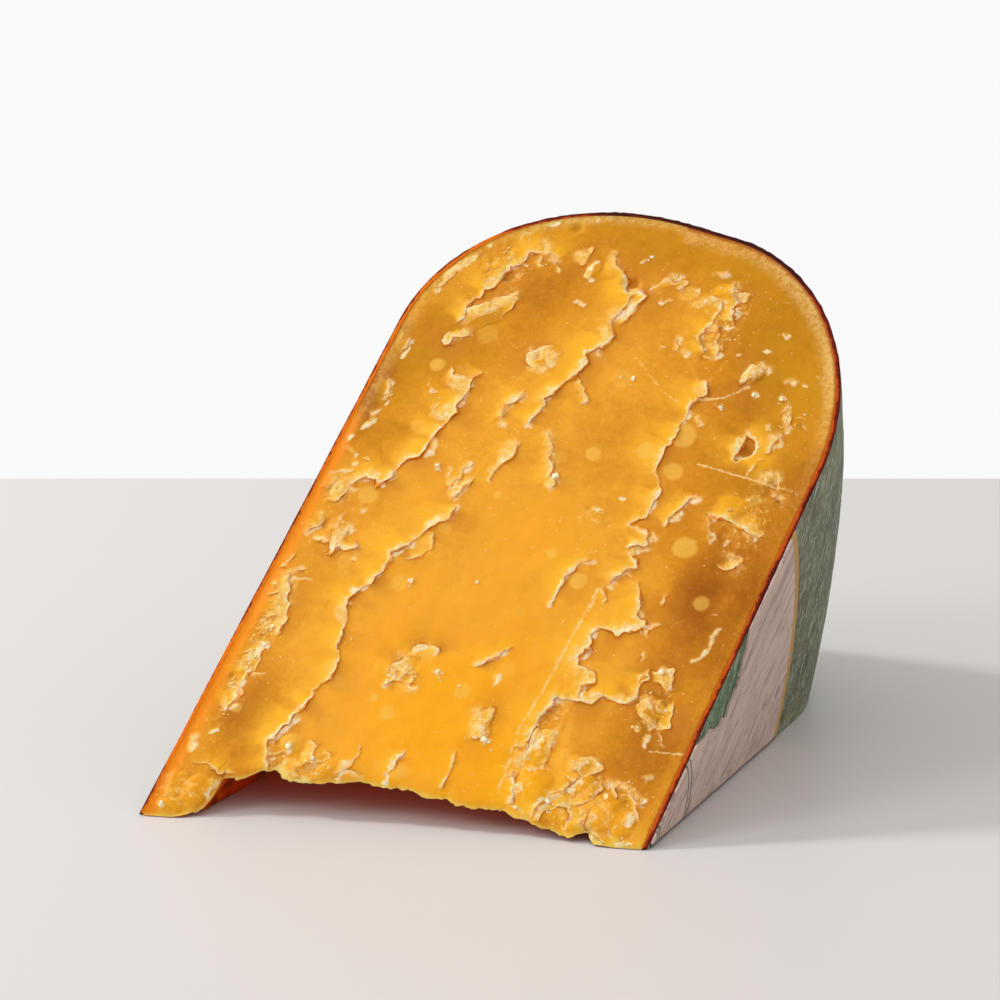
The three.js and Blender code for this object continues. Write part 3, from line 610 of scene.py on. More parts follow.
# Where short tears are strewn: across, out, reach across, reach out, how many, lift
smallTearGround = [
    (44, 6, 12, 9, 9, 0.5), (47, 33, 6, 7, 5, 0.4), (-53, 22, 2.5, 22, 18, 0.6), (24, 8, 4, 12, 8, 0.5),
    (20, 140, 7, 12, 10, 0.5), (-38, 146, 12, 6, 8, 0.4), (48, 106, 7, 18, 8, 0.4),
    (-52, 66, 4, 14, 6, 0.4), (-26, -6, 10, 5, 8, 0.4), (-15, 25, 5, 4, 5, 0.5), (10, 147, 12, 4, 6, 0.4),
    (-43, 50, 5, 5, 5, 0.5), (46, 60, 9, 18, 5, 0.35),
]

# Broad tones of the cut face, partly the paste's own colour and partly painted light and shade: across, out,
# reach across, reach out, tone from brown at -1 to bright at 1, and how much the place leans to olive
toneAndShadeSpots = [
    (-2, 12, 30, 26, 0.9, -0.3), (0, 60, 24, 34, 0.35, 0.0), (5, 115, 16, 24, -0.15, -0.25),
    (-28, 134, 12, 18, -0.35, 0.1), (0, 158, 70, 12, -0.42, 0.7), (34, 138, 13, 18, -0.7, 0.6),
    (46, 64, 9, 30, -0.9, 0.1), (57, 70, 4, 34, -0.55, 0.1), (38, 46, 10, 14, 0.3, -0.3),
    (43, 27, 12, 14, -0.3, -0.1), (-49, 42, 9, 16, -0.1, -0.35), (-47, 0, 9, 14, -0.75, -0.2),
    (-49, 92, 10, 26, -0.25, 0.35), (-55, -28, 9, 10, 0.1, 0.1), (-46, 118, 16, 22, -0.25, 0.5),
    (-34, 50, 12, 26, 0.15, 0.0), (50, 110, 12, 20, -0.45, 0.35), (-56, 92, 3, 14, -0.8, 0.2),
    (38, -2, 16, 9, 0.5, 0.2), (32, 90, 12, 20, -0.15, 0.0), (52, 18, 8, 14, -0.5, -0.1),
    (50, 134, 12, 16, 0.1, 0.6), (36, 108, 9, 14, -0.3, 0.1), (46, 90, 6, 6, 0.6, 0.2),
    (-3, 116, 10, 14, 0.35, 0), (22, 12, 6, 12, 1.3, 0.0),
]


def smallTears():
    # short torn edges, strewn with a fixed seed over the broken ground: each walks on from where it starts
    dice = np.random.default_rng(41)
    made = []
    for cx, cy, rx, ry, count, lift in smallTearGround:
        for _ in range(count):
            x, y = cx + dice.uniform(-rx, rx), cy + dice.uniform(-ry, ry)
            heading = -pi / 2 + dice.normal(0, 0.8)
            walk = [(x, y)]
            for _ in range(dice.integers(2, 6)):
                heading += dice.normal(0, 0.75)
                pace = dice.uniform(0.7, 1.6)
                x, y = x + pace * cos(heading), y + pace * sin(heading)
                walk.append((x, y))
            made.append((lift * dice.uniform(0.5, 1.2), dice.uniform(0.4, 1.4), walk))
    return made


def brokenOut(across):
    # the lip: the traced line, roughened, and never under the table
    places = np.array(brokenEdge, float)
    out = np.interp(across, places[:, 0], places[:, 1])
    free = ease((out - tableOut(across)) / 2.0)
    jagged = 0.4 * noise(across / 2.3, across * 0, 31) + 0.35 * noise(across / 0.8, across * 0, 32)
    out = out + free * jagged
    return np.maximum(out, tableOut(across))


def placesNear(x, y, guide, margin):
    low, high = guide.min(0) - margin, guide.max(0) + margin
    return np.flatnonzero((x > low[0]) & (x < high[0]) & (y > low[1]) & (y < high[1]))


def nearestOnLine(x, y, guide):
    # signed distance to a bent line (positive on the left hand), distance along it and the way across it
    start, step = guide[:-1], np.diff(guide, axis=0)
    length = np.hypot(step[:, 0], step[:, 1])
    normal = np.stack([-step[:, 1], step[:, 0]], -1) / length[:, None]
    joint = np.concatenate([normal[:1], normal[:-1] + normal[1:], normal[-1:]])
    joint = joint / np.maximum(1e-6, np.hypot(joint[:, 0], joint[:, 1]))[:, None]
    walked = np.concatenate([[0.0], np.cumsum(length)])
    best = np.full(x.shape, 1e9)
    found = [np.zeros(x.shape) for _ in range(4)]
    for n in range(len(step)):
        dx, dy = x - start[n, 0], y - start[n, 1]
        share = clamp01((dx * step[n, 0] + dy * step[n, 1]) / length[n] ** 2)
        dx, dy = dx - share * step[n, 0], dy - share * step[n, 1]
        gap = np.hypot(dx, dy)
        at = [np.where(share <= 0, joint[n, k], np.where(share >= 1, joint[n + 1, k], normal[n, k]))
              for k in (0, 1)]
        nearer = gap < best
        best = np.where(nearer, gap, best)
        for k, value in enumerate((dx * at[0] + dy * at[1], walked[n] + share * length[n], *at)):
            found[k] = np.where(nearer, value, found[k])
    side, along, nx, ny = found
    return np.where(side < 0, -best, best), along, walked[-1], nx, ny


def raiseTo(field, here, values):
    field[here] = np.maximum(field[here], values)


def tearFields(x, y):
    # what all tears together do to each place: height, shift sideways, and the marks that the shader reads
    names = ("height", "shiftX", "shiftY", "pale", "sunk", "raised", "force")
    fields = {name: np.zeros(x.shape) for name in names}
    fields["edge"] = np.full(x.shape, 6.0)
    wx, wy = shaken(x, y, (4.6, 0.5, 1, 4), (2.1, 0.55, 2, 5), (1.1, 0.38, 3, 6))
    snap, proudShare = paste["snap"], tearShape["proudShare"]
    for number, (lift, paleReach, places) in enumerate(tears + smallTears()):
        guide = np.array(places, float)
        extent = np.sum(np.hypot(*np.diff(guide, axis=0).T))
        reach = np.clip(0.28 * extent, tearShape["shortReach"], tearShape["longReach"])
        near = placesNear(wx, wy, guide, 4 * reach)
        d, along, length, nx, ny = nearestOnLine(wx[near], wy[near], guide)
        # open tears die out at their ends, and closed ones are worn away here and there
        if np.hypot(*(guide[0] - guide[-1])) < 0.1:
            ends = np.ones(along.shape)
            worn = 0.5 + 0.9 * noise(along / 4.3 + 40 * number, along * 0, 7)
        else:
            taper = min(tearShape["taper"], 0.3 * length)
            ends = ease(along / taper) * ease((length - along) / taper)
            worn = 0.75 + 0.45 * noise(along / 3.1 + 40 * number, along * 0, 7)
        strength = ends * clamp01(worn)
        # places beside the line are drawn onto it, so that the step is sharp
        gap = np.abs(d)
        drawn = np.where(gap < snap, 0.12 * gap, 0.12 * snap + (gap - snap) * (3 - 0.12) / 2)
        drawn = np.where(gap < 3 * snap, gap + (drawn - gap) * ease(ends * 2), gap)
        proud = d < 0
        move = np.where(proud, -1, 1) * (drawn - gap)
        move -= np.where(proud, 0, paste["undercut"] * strength * ease((snap - gap) / snap) * min(1, lift))
        fields["shiftX"][near] += move * nx
        fields["shiftY"][near] += move * ny
        border = ease((4 * reach - gap) / reach)
        step = lift * tearShape["liftShare"] * np.where(proud, proudShare, proudShare - 1)
        fields["height"][near] += step * strength * np.exp(-drawn / reach) * border
        signed = np.where(proud, -drawn, drawn)
        nearer = (np.abs(signed) < np.abs(fields["edge"][near])) & (strength > 0.03)
        fields["edge"][near] = np.where(nearer, signed, fields["edge"][near])
        raiseTo(fields["force"], near, strength * min(1, 0.35 + 0.6 * lift) * ease((1.5 - drawn) / 0.8))
        width = paleReach * (0.75 + 0.95 * noise(along / 3.7 + 17 * number, along * 0, 8)).clip(0.15)
        raiseTo(fields["pale"], near, np.where(proud, strength * np.exp(-(drawn / width) ** 1.3), 0))
        toneReach = np.clip(0.3 * extent, 0.8, tearShape["toneReach"])
        weight = strength * min(1, 0.3 + 0.7 * lift) * np.exp(-drawn / toneReach) * border
        raiseTo(fields["sunk"], near, np.where(proud, 0, weight))
        raiseTo(fields["raised"], near, np.where(proud, weight, 0))
    return fields


def strokeField(x, y, strokes):
    # the strongest of many soft strokes at each place; each is a strength, a reach and the places it passes
    shown = np.zeros(x.shape)
    for strength, reach, places in strokes:
        guide = np.array(places if len(places) > 1 else places + [(places[0][0] + 0.1, places[0][1])], float)
        near = placesNear(x, y, guide, 3 * reach)
        d, *_ = nearestOnLine(x[near], y[near], guide)
        raiseTo(shown, near, strength * np.exp(-(np.abs(d) / (1.15 * reach)) ** 2))
    return shown


def patchField(x, y):
    return strokeField(x, y, [(1.0, *patch) for patch in palePatches])


def crystalField(x, y):
    # how deep each place lies in the nearest crystal, from 0 outside to 1 inside, times its strength
    shown = np.zeros(x.shape)
    for number, (cx, cy, radius, strength) in enumerate(crystals):
        near = placesNear(x, y, np.array([[cx, cy]]), 2 * radius)
        dx, dy = (x[near] - cx) / radius, (y[near] - cy) / radius
        outline = 1 + 0.12 * noise(dx + 9 * number, dy, 9)
        raiseTo(shown, near, strength * ease((1.15 - np.hypot(dx, dy) / outline) / 0.45))
    return shown


def noduleField(x, y):
    # domes: the height of the tallest at each place, and 1 in the middle of a dome falling to 0 at its foot
    height, inside = np.zeros(x.shape), np.zeros(x.shape)
    for number, (cx, cy, rx, ry, lift) in enumerate(nodules):
        near = placesNear(x, y, np.array([[cx, cy]]), 1.3 * np.array([rx, ry]))
        dx, dy = (x[near] - cx) / rx, (y[near] - cy) / ry
        outline = 1 + 0.22 * noise(1.6 * dx + 5 * number, 1.6 * dy, 90)
        dome = np.sqrt(clamp01(1 - (np.hypot(dx, dy) / outline) ** 2))
        raiseTo(height, near, lift * dome)
        raiseTo(inside, near, dome)
    return height, inside


def facePoint(across, out, height):
    return toRow(out * cutCos - height * cutSin, out * cutSin + height * cutCos, across)


def relief(x, y, lip):
    # broad swells, tears, broken ground, pits, crystals and fine grain add up to the height of the cut face
    fields = tearFields(x, y)
    gap = rindGap(x, y) - paste["inset"]
    height = 0.5 * noise(x / 24, y / 40, 10) + 0.16 * layered(x / 7, y / 7, 11, 3) + fields["height"]
    rough, border = np.zeros(x.shape), np.ones(x.shape)
    for number, (cx, cy, rx, ry, depth, grain) in enumerate(roughGround):
        ragged = 0.25 * noise(x / 3, y / 3, 12 + number)
        reach = ease(1.5 - 1.3 * np.hypot((x - cx) / rx, (y - cy) / ry) + ragged)
        near = np.flatnonzero(reach > 0)
        u, w = shaken(x[near], y[near], (2.0, 0.9, 25, 26), (1.0, 0.4, 27, 28))
        crumb, seam = cells(u, w, grain, 60 + 5 * number)
        fine, _ = cells(u, w, grain * 0.4, 160 + 5 * number)
        height[near] -= depth * reach[near] * (crumb * 0.55 + fine * 0.15 + 0.4 * (1 - ease(seam * 2.2)))
        raiseTo(rough, near, reach[near])
        border[near] = np.minimum(border[near], seam + 1.5 * (1 - reach[near]))
    for px, py, reach, depth in pits:
        height -= depth * ease(1.3 - np.hypot(x - px, y - py) / reach + 0.25 * noise(x / 1.5, y / 1.5, 40))
    height += (0.03 + 0.12 * rough) * layered(x / 1.6, y / 1.6, 41, 2)
    toLip = y - lip
    nearLip = np.flatnonzero(toLip < 12)
    d, *_ = nearestOnLine(x[nearLip], y[nearLip], np.array(brokenEdge, float))
    toLip[nearLip] = np.minimum(toLip[nearLip], np.abs(d))
    height -= paste["tipRounding"] * np.exp(-toLip / 1.8)
    u, w = shaken(x, y, (1.7, 0.7, 95, 96), (0.7, 0.3, 98, 99))
    patch = patchField(u, w)
    # painted highlight: a bright rim on each pale patch's side away from the light, as if light shone through
    # its edge
    patchRim = clamp01(1.7 * (patch - patchField(u + 0.65, w - 0.4)))  # on the side away from the light
    spot = crystalField(x, y)
    dome, nodule = noduleField(x, y)
    height += 0.03 * spot + dome + patch * (0.04 + 0.07 * layered(x / 1.1, y / 1.1, 97, 2))
    height *= ease(gap / paste["rindMargin"]) * ease((y - tableOut(x)) / 3.0)
    scratch = strokeField(x, y, [(strength, paste["scratchReach"], places) for strength, places in scratches])
    fields.update(height=height, gap=gap, rough=rough, spot=spot, border=border, patch=patch, nodule=nodule,
                  patchRim=patchRim, scratch=scratch, toLip=toLip)
    return fields


def pasteColumns():
    # columns crowd towards the flats, and where the lip climbs steeply beside the foot
    v = np.linspace(-1, 1, 4001)
    even = paste["columnEvenness"]
    spread = (half - paste["inset"]) * (even * v + (1 - even) * np.sin(pi / 2 * v))
    crowding = 1 + paste["footCrowding"] * np.exp(-((spread - paste["footSide"]) / 1.1) ** 2)
    walked = np.concatenate([[0.0], np.cumsum((crowding[1:] + crowding[:-1]) / 2)])
    return np.interp(np.linspace(0, walked[-1], paste["columns"]), walked, spread)


def hiddenRows(across, radius, backLip, upLip):
    # the rim and the base behind the coat, and the vault of the hollow under the tip
    column, floor = across[:, None], tableUp(across)
    floorAngle = np.arcsin(floor / radius)
    turn = np.arange(paste["rimRows"]) / paste["rimRows"]
    angle = wheel["wedgeAngle"] + (floorAngle - wheel["wedgeAngle"])[:, None] * turn
    rim = toRow(radius[:, None] * np.cos(angle), radius[:, None] * np.sin(angle), column)
    lift = upLip - floor
    opened = ease(lift / paste["fullHollowLift"])
    reach = np.maximum(paste["hollowCorner"], (paste["hollowBack"] - backLip) * opened)
    step = np.arange(paste["baseRows"]) / paste["baseRows"]
    start = radius * np.cos(floorAngle)
    base = toRow(start[:, None] + (backLip + reach - start)[:, None] * step, floor[:, None], column)
    deep = 1 - (np.arange(paste["vaultRows"]) / paste["vaultRows"]) ** 1.4
    vault = paste["vaultShare"] * np.maximum(0, (half - across) * sin(wheel["axisTilt"]) - lift) * opened
    rise = (lift[:, None] + vault[:, None] * np.sin(pi * deep)) * (1 - deep ** 3) ** 0.7
    depthBack = backLip[:, None] + reach[:, None] * deep
    broken = 1.1 * layered(column / 6, depthBack / 6, 50, 4) * np.sin(pi * deep) * ease(lift / 4)[:, None]
    hollow = toRow(depthBack, floor[:, None] + np.maximum(0, rise + broken), column)
    return [rim, base, hollow], lift


def makePaste(material):
    # a closed grid: columns across the wheel, rows up the cut, over the rim, along the base and the hollow
    columns, frontRows = paste["columns"], paste["frontRows"]
    across = pasteColumns()
    radius, lip = rimRadius(across, paste["inset"]), brokenOut(across)
    x, lipThere = np.repeat(across, frontRows), np.repeat(lip, frontRows)
    y = (lip[:, None] + (radius - lip)[:, None] * (np.arange(frontRows) / frontRows)).ravel()
    fields = relief(x, y, lipThere)
    height, gap = fields["height"], fields["gap"]
    free = ease(gap / 1.2) * ease((y - lipThere) / 1.0)
    px, py = x + fields["shiftX"] * free, y + fields["shiftY"] * free
    back = py * cutCos - height * cutSin
    up = np.maximum(py * cutSin + height * cutCos, tableUp(px))
    front = toRow(back, up, px).reshape(columns, frontRows, 3)
    backLip, upLip = (part.reshape(columns, frontRows)[:, 0] for part in (back, up))
    hidden, lift = hiddenRows(across, radius, backLip, upLip)
    points = np.concatenate([front, *hidden], 1)
    rows = points.shape[1]
    # each flat is closed by a fan round its middle
    ring = np.arange(rows)
    cornerCount = columns * rows
    caps = np.concatenate([fan(cornerCount, ring), fan(cornerCount + 1, ring + cornerCount - rows)[:, ::-1]])

    def everywhere(values, other=0.0):
        full = np.full((columns, rows), float(other))
        full[:, :frontRows] = values.reshape(columns, frontRows)
        full[:, frontRows] = full[:, frontRows - 1]  # the row where the cut meets the rim
        return np.concatenate([full.ravel(), [other, other]])

    toneAndShade, olive = np.zeros(x.shape), np.zeros(x.shape)
    for cx, cy, rx, ry, amount, lean in toneAndShadeSpots:
        reach = np.exp(-((x - cx) / rx) ** 2 - ((y - cy) / ry) ** 2)
        toneAndShade += amount * reach
        olive += lean * reach
    inside, hollowGlowShare = np.zeros((columns, rows)), np.zeros((columns, rows))
    inside[:, frontRows + 1:] = 1
    # the vault of the hollow gets a painted glow, strongest where it stands high
    hollowGlowShare[:, frontRows + paste["rimRows"] + paste["baseRows"]:] = ease(lift / 6)[:, None]
    calm, settled = ease(gap / paste["rindMargin"]), ease(gap / 1.0)
    marks = {
        "edge": everywhere(fields["edge"].clip(-6, 6), 6),
        "force": everywhere(fields["force"] * calm),
        "pale": everywhere(fields["pale"] * calm),
        "patch": everywhere(fields["patch"] * settled),
        "patchRim": everywhere(fields["patchRim"] * settled),
        "crystal": everywhere(fields["spot"]),
        "lump": everywhere(fields["border"], 1),
        "broken": everywhere(fields["rough"], 0.6),
        "rind": everywhere(gap.clip(0, 30), 30),
        "lipGap": everywhere(fields["toLip"].clip(0, 30), 30),
        "toneAndShade": everywhere(toneAndShade),
        "olive": everywhere(olive),
        # a painted glow along the straight left flank, as if the side light shone through the coat; the rest
        # of the border is dark red
        "paintedFlankGlow": everywhere(np.exp(-(gap / 2.4)) * ease((-x - 50) / 4) * ease((94 - y) / 16)),
        # where the painted glow of the hollow's vault shows
        "vault": np.concatenate([hollowGlowShare.ravel(), [0, 0]]),
        "hidden": np.concatenate([inside.ravel(), [1, 1]]),
    }
    marks.update({name: everywhere(fields[name]) for name in ("sunk", "raised", "scratch", "nodule")})
    points = np.concatenate([points.reshape(-1, 3), points[[0, -1]].mean(1)])
    return meshPiece("cheesePaste", material, points, loopFaces(columns, rows), caps, 55, marks)


pasteColours = {
    "brown": colour(156, 82, 4),
    "amber": colour(212, 138, 22),
    "gold": colour(238, 166, 44),
    "bright": colour(248, 171, 14),
    "olive": colour(206, 146, 12),
    # painted light: the orange glow of the left flank
    "glow": colour(246, 130, 0),
    "borderRed": colour(184, 74, 2),
    "glowYellow": colour(252, 186, 42),
    "tan": colour(204, 128, 34),
    "honey": colour(238, 166, 10),
    "crystal": colour(244, 192, 82),
    "flake": colour(254, 203, 108),
    "cream": colour(255, 222, 154),
    "white": colour(255, 235, 194),
    "paintedCreviceShade": colour(176, 84, 6),
    "step": colour(240, 146, 12),
    # painted shade: the inside of the hollow is coloured deep red to dark maroon, the shade there tinted by
    # light through the paste
    "hollow": colour(222, 68, 2),
    "hollowShadeDark": colour(116, 26, 4),
    # painted glow given off in the hollow
    "paintedHollowGlow": (0.085, 0.006, 0.0, 1.0),
}


def pasteGround(bench, toneAndShade):
    # the cut's colour from brown to bright: its own tone with painted light and shade in it
    ground = bench.place("ValToRGB", {"Fac": bench.ramp(toneAndShade, -1.3, 1.3)})
    steps = ground.color_ramp.elements
    steps[0].color = pasteColours["brown"]
    steps[1].color = pasteColours["bright"]
    steps.new(0.33).color = pasteColours["amber"]
    steps.new(0.62).color = pasteColours["gold"]
    return ground.outputs["Color"]


def makePasteMaterial():
    material, bench, shader, where = newMaterial("agedPaste")
    add, times, swing, ramp, mark = bench.add, bench.times, bench.swing, bench.ramp, bench.mark
    soft = bench.mottle(where, 55.0, 1100.0)
    slow = bench.noise(where, 190.0, 2.0, 0.5)
    fine = bench.noise(where, 420.0, 3.0, 0.6)
    feather = bench.noise(where, 900.0, 4.0, 0.7)
    threads = bench.place("TexVoronoi", {"Vector": where, "Scale": 560.0}, feature="DISTANCE_TO_EDGE")
    net = ramp(add(threads.outputs["Distance"], swing(feather, 0.12)), 0.075, 0.01)
    edge = add(mark("edge"), swing(fine, 0.7), swing(feather, 0.7))
    force, paintedFlankGlow, olive, rind = mark("force"), mark("paintedFlankGlow"), mark("olive"), mark("rind")
    broken, sunk, hidden = mark("broken"), mark("sunk"), mark("hidden")
    pale = ramp(add(mark("pale"), swing(fine, 0.4)), 0.0, 0.75)
    patch = ramp(add(mark("patch"), swing(fine, 0.6)), 0.15, 1.0, 0, 0.85)
    dryness = bench.calc("MAXIMUM", pale, patch)
    toneAndShade = add(mark("toneAndShade"), ramp(soft["Patches"], 0, 1, -0.13, 0.13), swing(feather, 0.55),
               swing(fine, 0.35))
    base = bench.paint(pasteGround(bench, toneAndShade), pasteColours, (
        # olive near the rind
        (ramp(add(olive, ramp(slow, 0.35, 0.65, -0.15, 0.15)), 0.1, 1.1, 0, 0.75), "olive"),
        # the low side of a tear is duller; the proud side is painted yellow for the light that would shine
        # through the thin flake
        (ramp(sunk, 0.05, 0.9, 0, 0.7), "tan"),
        (ramp(mark("raised"), 0.03, 0.7, 0, 0.85), "glowYellow"),
        (ramp(mark("nodule"), 0.1, 0.7, 0, 0.5), "honey"),
        # a dry pale band just inside the rind, a painted glow at the left flank, dark red at the border
        (times(ramp(add(rind, swing(slow, 2.5)), 4.6, 1.0), ramp(feather, 0.36, 0.62, 0.1, 0.5),
               ramp(olive, 0.1, 0.9)), "cream"),
        (ramp(paintedFlankGlow, 0.08, 0.75, 0, 0.9), "glow"),
        (times(ramp(add(rind, swing(fine, 0.8)), 0.7, 0.1, 0, 0.75), ramp(paintedFlankGlow, 0.5, 0.2)), "borderRed"),
        (ramp(add(mark("crystal"), swing(feather, 0.3)), 0.08, 0.9, 0, 0.6), "crystal"),
        # lumps of broken ground with pale seams and flecks
        (times(ramp(add(mark("lump"), swing(feather, 0.35)), 0.2, 0.03), broken, 0.5), "flake"),
        (times(ramp(feather, 0.54, 0.64), ramp(fine, 0.46, 0.6), broken, 0.7), "cream"),
        # behind a torn edge and on dry flakes the paste turns pale, with grains and a net of threads in it
        (times(dryness, ramp(feather, 0.32, 0.62, 0.32, 0.76)), "flake"),
        (times(ramp(add(dryness, swing(feather, 1.9)), 0.72, 1.15), 0.6), "cream"),
        (times(net, ramp(dryness, 0.35, 0.9), 0.65), "cream"),
        # the painted highlight on the rims of pale patches
        (times(ramp(add(mark("patchRim"), swing(feather, 0.9)), 0.34, 0.68),
               ramp(slow, 0.36, 0.6, 0.3, 0.8)), "white"),
        # the torn edge itself: a bright rim, partly the dry crumb's pallor and partly a painted highlight of
        # light through the flake, the saturated little step under it, and painted shade at its foot
        (times(ramp(edge, -0.85, -0.3), ramp(edge, -0.02, -0.14), ramp(slow, 0.38, 0.6, 0.3, 1.0), force,
               0.9), "white"),
        (times(ramp(edge, -0.14, -0.03), ramp(edge, 0.2, 0.06), force, 0.85), "step"),
        (times(ramp(edge, 0.04, 0.12), ramp(edge, 0.7, 0.2), force, 0.6), "paintedCreviceShade"),
        # scratches, specks, and a pale line painted along the lip as a highlight
        (ramp(add(mark("scratch"), swing(feather, 1.6)), 0.35, 0.8, 0, 0.6), "cream"),
        (times(soft["Specks"], ramp(soft["Patches"], 0.3, 0.8, 0.1, 0.45)), "cream"),
        (ramp(mark("lipGap"), 1.0, 0.1, 0, 0.4), "flake"),
    ))
    # painted shade: the inside of the hollow is coloured dark maroon to deep red
    hollowShade = bench.blend(pasteColours["hollowShadeDark"], ramp(slow, 0.35, 0.62), pasteColours["hollow"])
    grainy = add(times(soft["Grain"], 0.35), times(feather, 0.5), times(net, dryness, 0.3))
    bench.feed(shader, {
        "Base Color": bench.blend(base, ramp(hidden, 0.3, 1.0, 0, 0.95), hollowShade),
        # painted glow: the hollow's vault gives off a little orange light, standing in for light that soaks
        # through the paste
        "Emission Color": bench.blend((0.0, 0.0, 0.0, 1.0), mark("vault"), pasteColours["paintedHollowGlow"]),
        "Emission Strength": 1.0,
        # waxy where smooth, dull where broken or pale
        "Roughness": add(ramp(soft["Grain"], 0.3, 0.7, 0.38, 0.52), times(dryness, 0.2), times(sunk, 0.15),
                         times(hidden, 0.5)),
        "Normal": bench.bump(times(grainy, add(times(broken, 1.2), times(dryness, 1.3), 0.5)), 0.5, 0.0005),
        "Specular IOR Level": 0.18,
        "Specular Tint": (1.0, 0.82, 0.56, 1.0),
        "Subsurface Weight": 0.55,
        "Subsurface Radius": (1.0, 0.5, 0.12),
        "Subsurface Scale": 0.0042,
    })
    return material


cheesePaste = makePaste(makePasteMaterial())
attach(cheesePaste, "root")
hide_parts("cheese_wedge")


# Loose crumbs and salt-white grains on the cut face

crumbs = {
    "seed": 7,
    "grainSize": (0.45, 0.75),  # radius of the white grains, millimetres
    "crumbSize": (0.14, 0.36),
    "aroundEach": 3,
    "spread": 1.3,  # millimetres round a white grain
    "strewn": [  # across, out, reach across, reach out, how many
        (44, 6, 11, 9, 40), (47, 33, 5, 6, 12), (-53, 15, 2.2, 20, 30), (24, 12, 3.5, 10, 12),
        (20, 142, 5, 10, 16), (-36, 145, 9, 5, 14), (47, 108, 5, 20, 22), (-15, 24, 4, 4, 10),
        (-26, -8, 8, 3, 10), (8, 148, 8, 4, 8), (-4, 60, 28, 50, 8), (-55, -29, 3, 4, 6),
        (11, 13, 1.5, 1.5, 4),
    ],
    "rings": 5,
    "ringPlaces": 6,
    "rindMargin": 2.5,  # none lie closer to the rind
    "lipMargin": 0.8,
    "white": colour(255, 242, 206),
    "cream": colour(254, 218, 132),
}


def crumbSpots(dice):
    # across, out, radius and pallor of every crumb; the random draws stay in this order
    spots = [(x, y, dice.uniform(*crumbs["grainSize"]), 1.0) for x, y in whiteDots]
    for x, y in whiteDots:
        for _ in range(dice.integers(0, crumbs["aroundEach"] + 1)):
            shift = [dice.normal(0, crumbs["spread"]) for _ in range(2)]
            spots.append((x + shift[0], y + shift[1], dice.uniform(*crumbs["crumbSize"]), 0.9))
    for cx, cy, rx, ry, count in crumbs["strewn"]:
        for _ in range(count):
            radius = dice.uniform(*crumbs["crumbSize"]) * dice.uniform(0.7, 1.25)
            spots.append((cx + dice.uniform(-rx, rx), cy + dice.uniform(-ry, ry), radius, dice.uniform(0, 1)))
    return np.array(spots)


def makeCrumbs(material):
    dice = np.random.default_rng(crumbs["seed"])
    spots = crumbSpots(dice)
    lip, gap = brokenOut(spots[:, 0]), rindGap(spots[:, 0], spots[:, 1])
    kept = (gap > crumbs["rindMargin"]) & (spots[:, 1] > lip + crumbs["lipMargin"])
    x, y, radius, pallor = spots[kept].T
    height = relief(x, y, lip[kept])["height"] + 0.25 * radius
    # each crumb is a globe of rings of places with both poles closed, dented at random
    rings, places = crumbs["rings"], crumbs["ringPlaces"]
    polar = np.repeat(np.arange(1, rings + 1) * pi / (rings + 1), places)
    turn = np.tile(np.arange(places) * 2 * pi / places, rings)
    turn = turn + np.repeat(np.arange(rings) % 2, places) * pi / places
    globe = np.stack([np.sin(polar) * np.cos(turn), np.sin(polar) * np.sin(turn), np.cos(polar)], -1)
    globe = np.concatenate([globe, [[0, 0, 1], [0, 0, -1]]])
    count, size = len(x), len(globe)
    dents = dice.uniform(0.6, 1.2, (count, size, 1))
    stretch = dice.uniform(0.65, 1.4, (count, 1, 3)) * [1, 1, 0.6]
    local = globe * dents * stretch * radius[:, None, None]
    points = facePoint(*(middle[:, None] + local[..., n] for n, middle in enumerate((x, y, height))))
    ring = np.arange(places)
    caps = np.concatenate([fan(size - 2, ring), fan(size - 1, ring + (rings - 1) * places)[:, ::-1]])
    shifts = size * np.arange(count)[:, None, None]
    quads, caps = (loopFaces(rings, places) + shifts).reshape(-1, 4), (caps + shifts).reshape(-1, 3)
    marks = {"pallor": np.repeat(pallor, size)}
    return meshPiece("cheeseCrumbs", material, points.reshape(-1, 3), quads, caps, marks=marks)


def makeCrumbMaterial():
    material, bench, shader, where = newMaterial("dryCrumb")
    soft = bench.mottle(where, 300.0, 2200.0)
    bench.feed(shader, {
        "Base Color": bench.paint(crumbs["cream"], crumbs, (
            (bench.ramp(bench.mark("pallor"), 0.35, 0.9), "white"),
            (bench.ramp(soft["Patches"], 0, 1, 0, 0.25), "cream"),
        )),
        "Roughness": bench.ramp(soft["Grain"], 0.3, 0.7, 0.5, 0.7),
        "Specular IOR Level": 0.25,
        "Subsurface Weight": 0.3,
        "Subsurface Radius": (1.0, 0.6, 0.3),
        "Subsurface Scale": 0.0008,
    })
    return material


cheeseCrumbs = makeCrumbs(makeCrumbMaterial())
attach(cheeseCrumbs, "root")


# The wax coat

coat = {
    "flatColumns": 46,
    "rimColumns": 190,
    "outerRows": 70,
    "innerRows": 6,
    "bevel": 0.14,
    "edgeSteps": (0.8, 0.4),  # insets of the rows between the coat's inside and its bevel
    "edgeBulge": 0.03,  # how far these rows stand in front of the cut
    "unevenness": 0.7,
    "green": colour(128, 128, 96),
    "deepGreen": colour(66, 76, 54),
    "scratch": colour(186, 190, 170),
    "stripGreen": colour(84, 128, 88),
    "strip": (28.0, 64.0, 13.0),  # where the paper is torn away: from and to out of the centre, how far down
    "cutRed": colour(118, 22, 3),
    "cutDark": colour(44, 14, 6),
    "cutOrange": colour(202, 84, 5),
    "leftGlowOrange": colour(230, 116, 2),
}


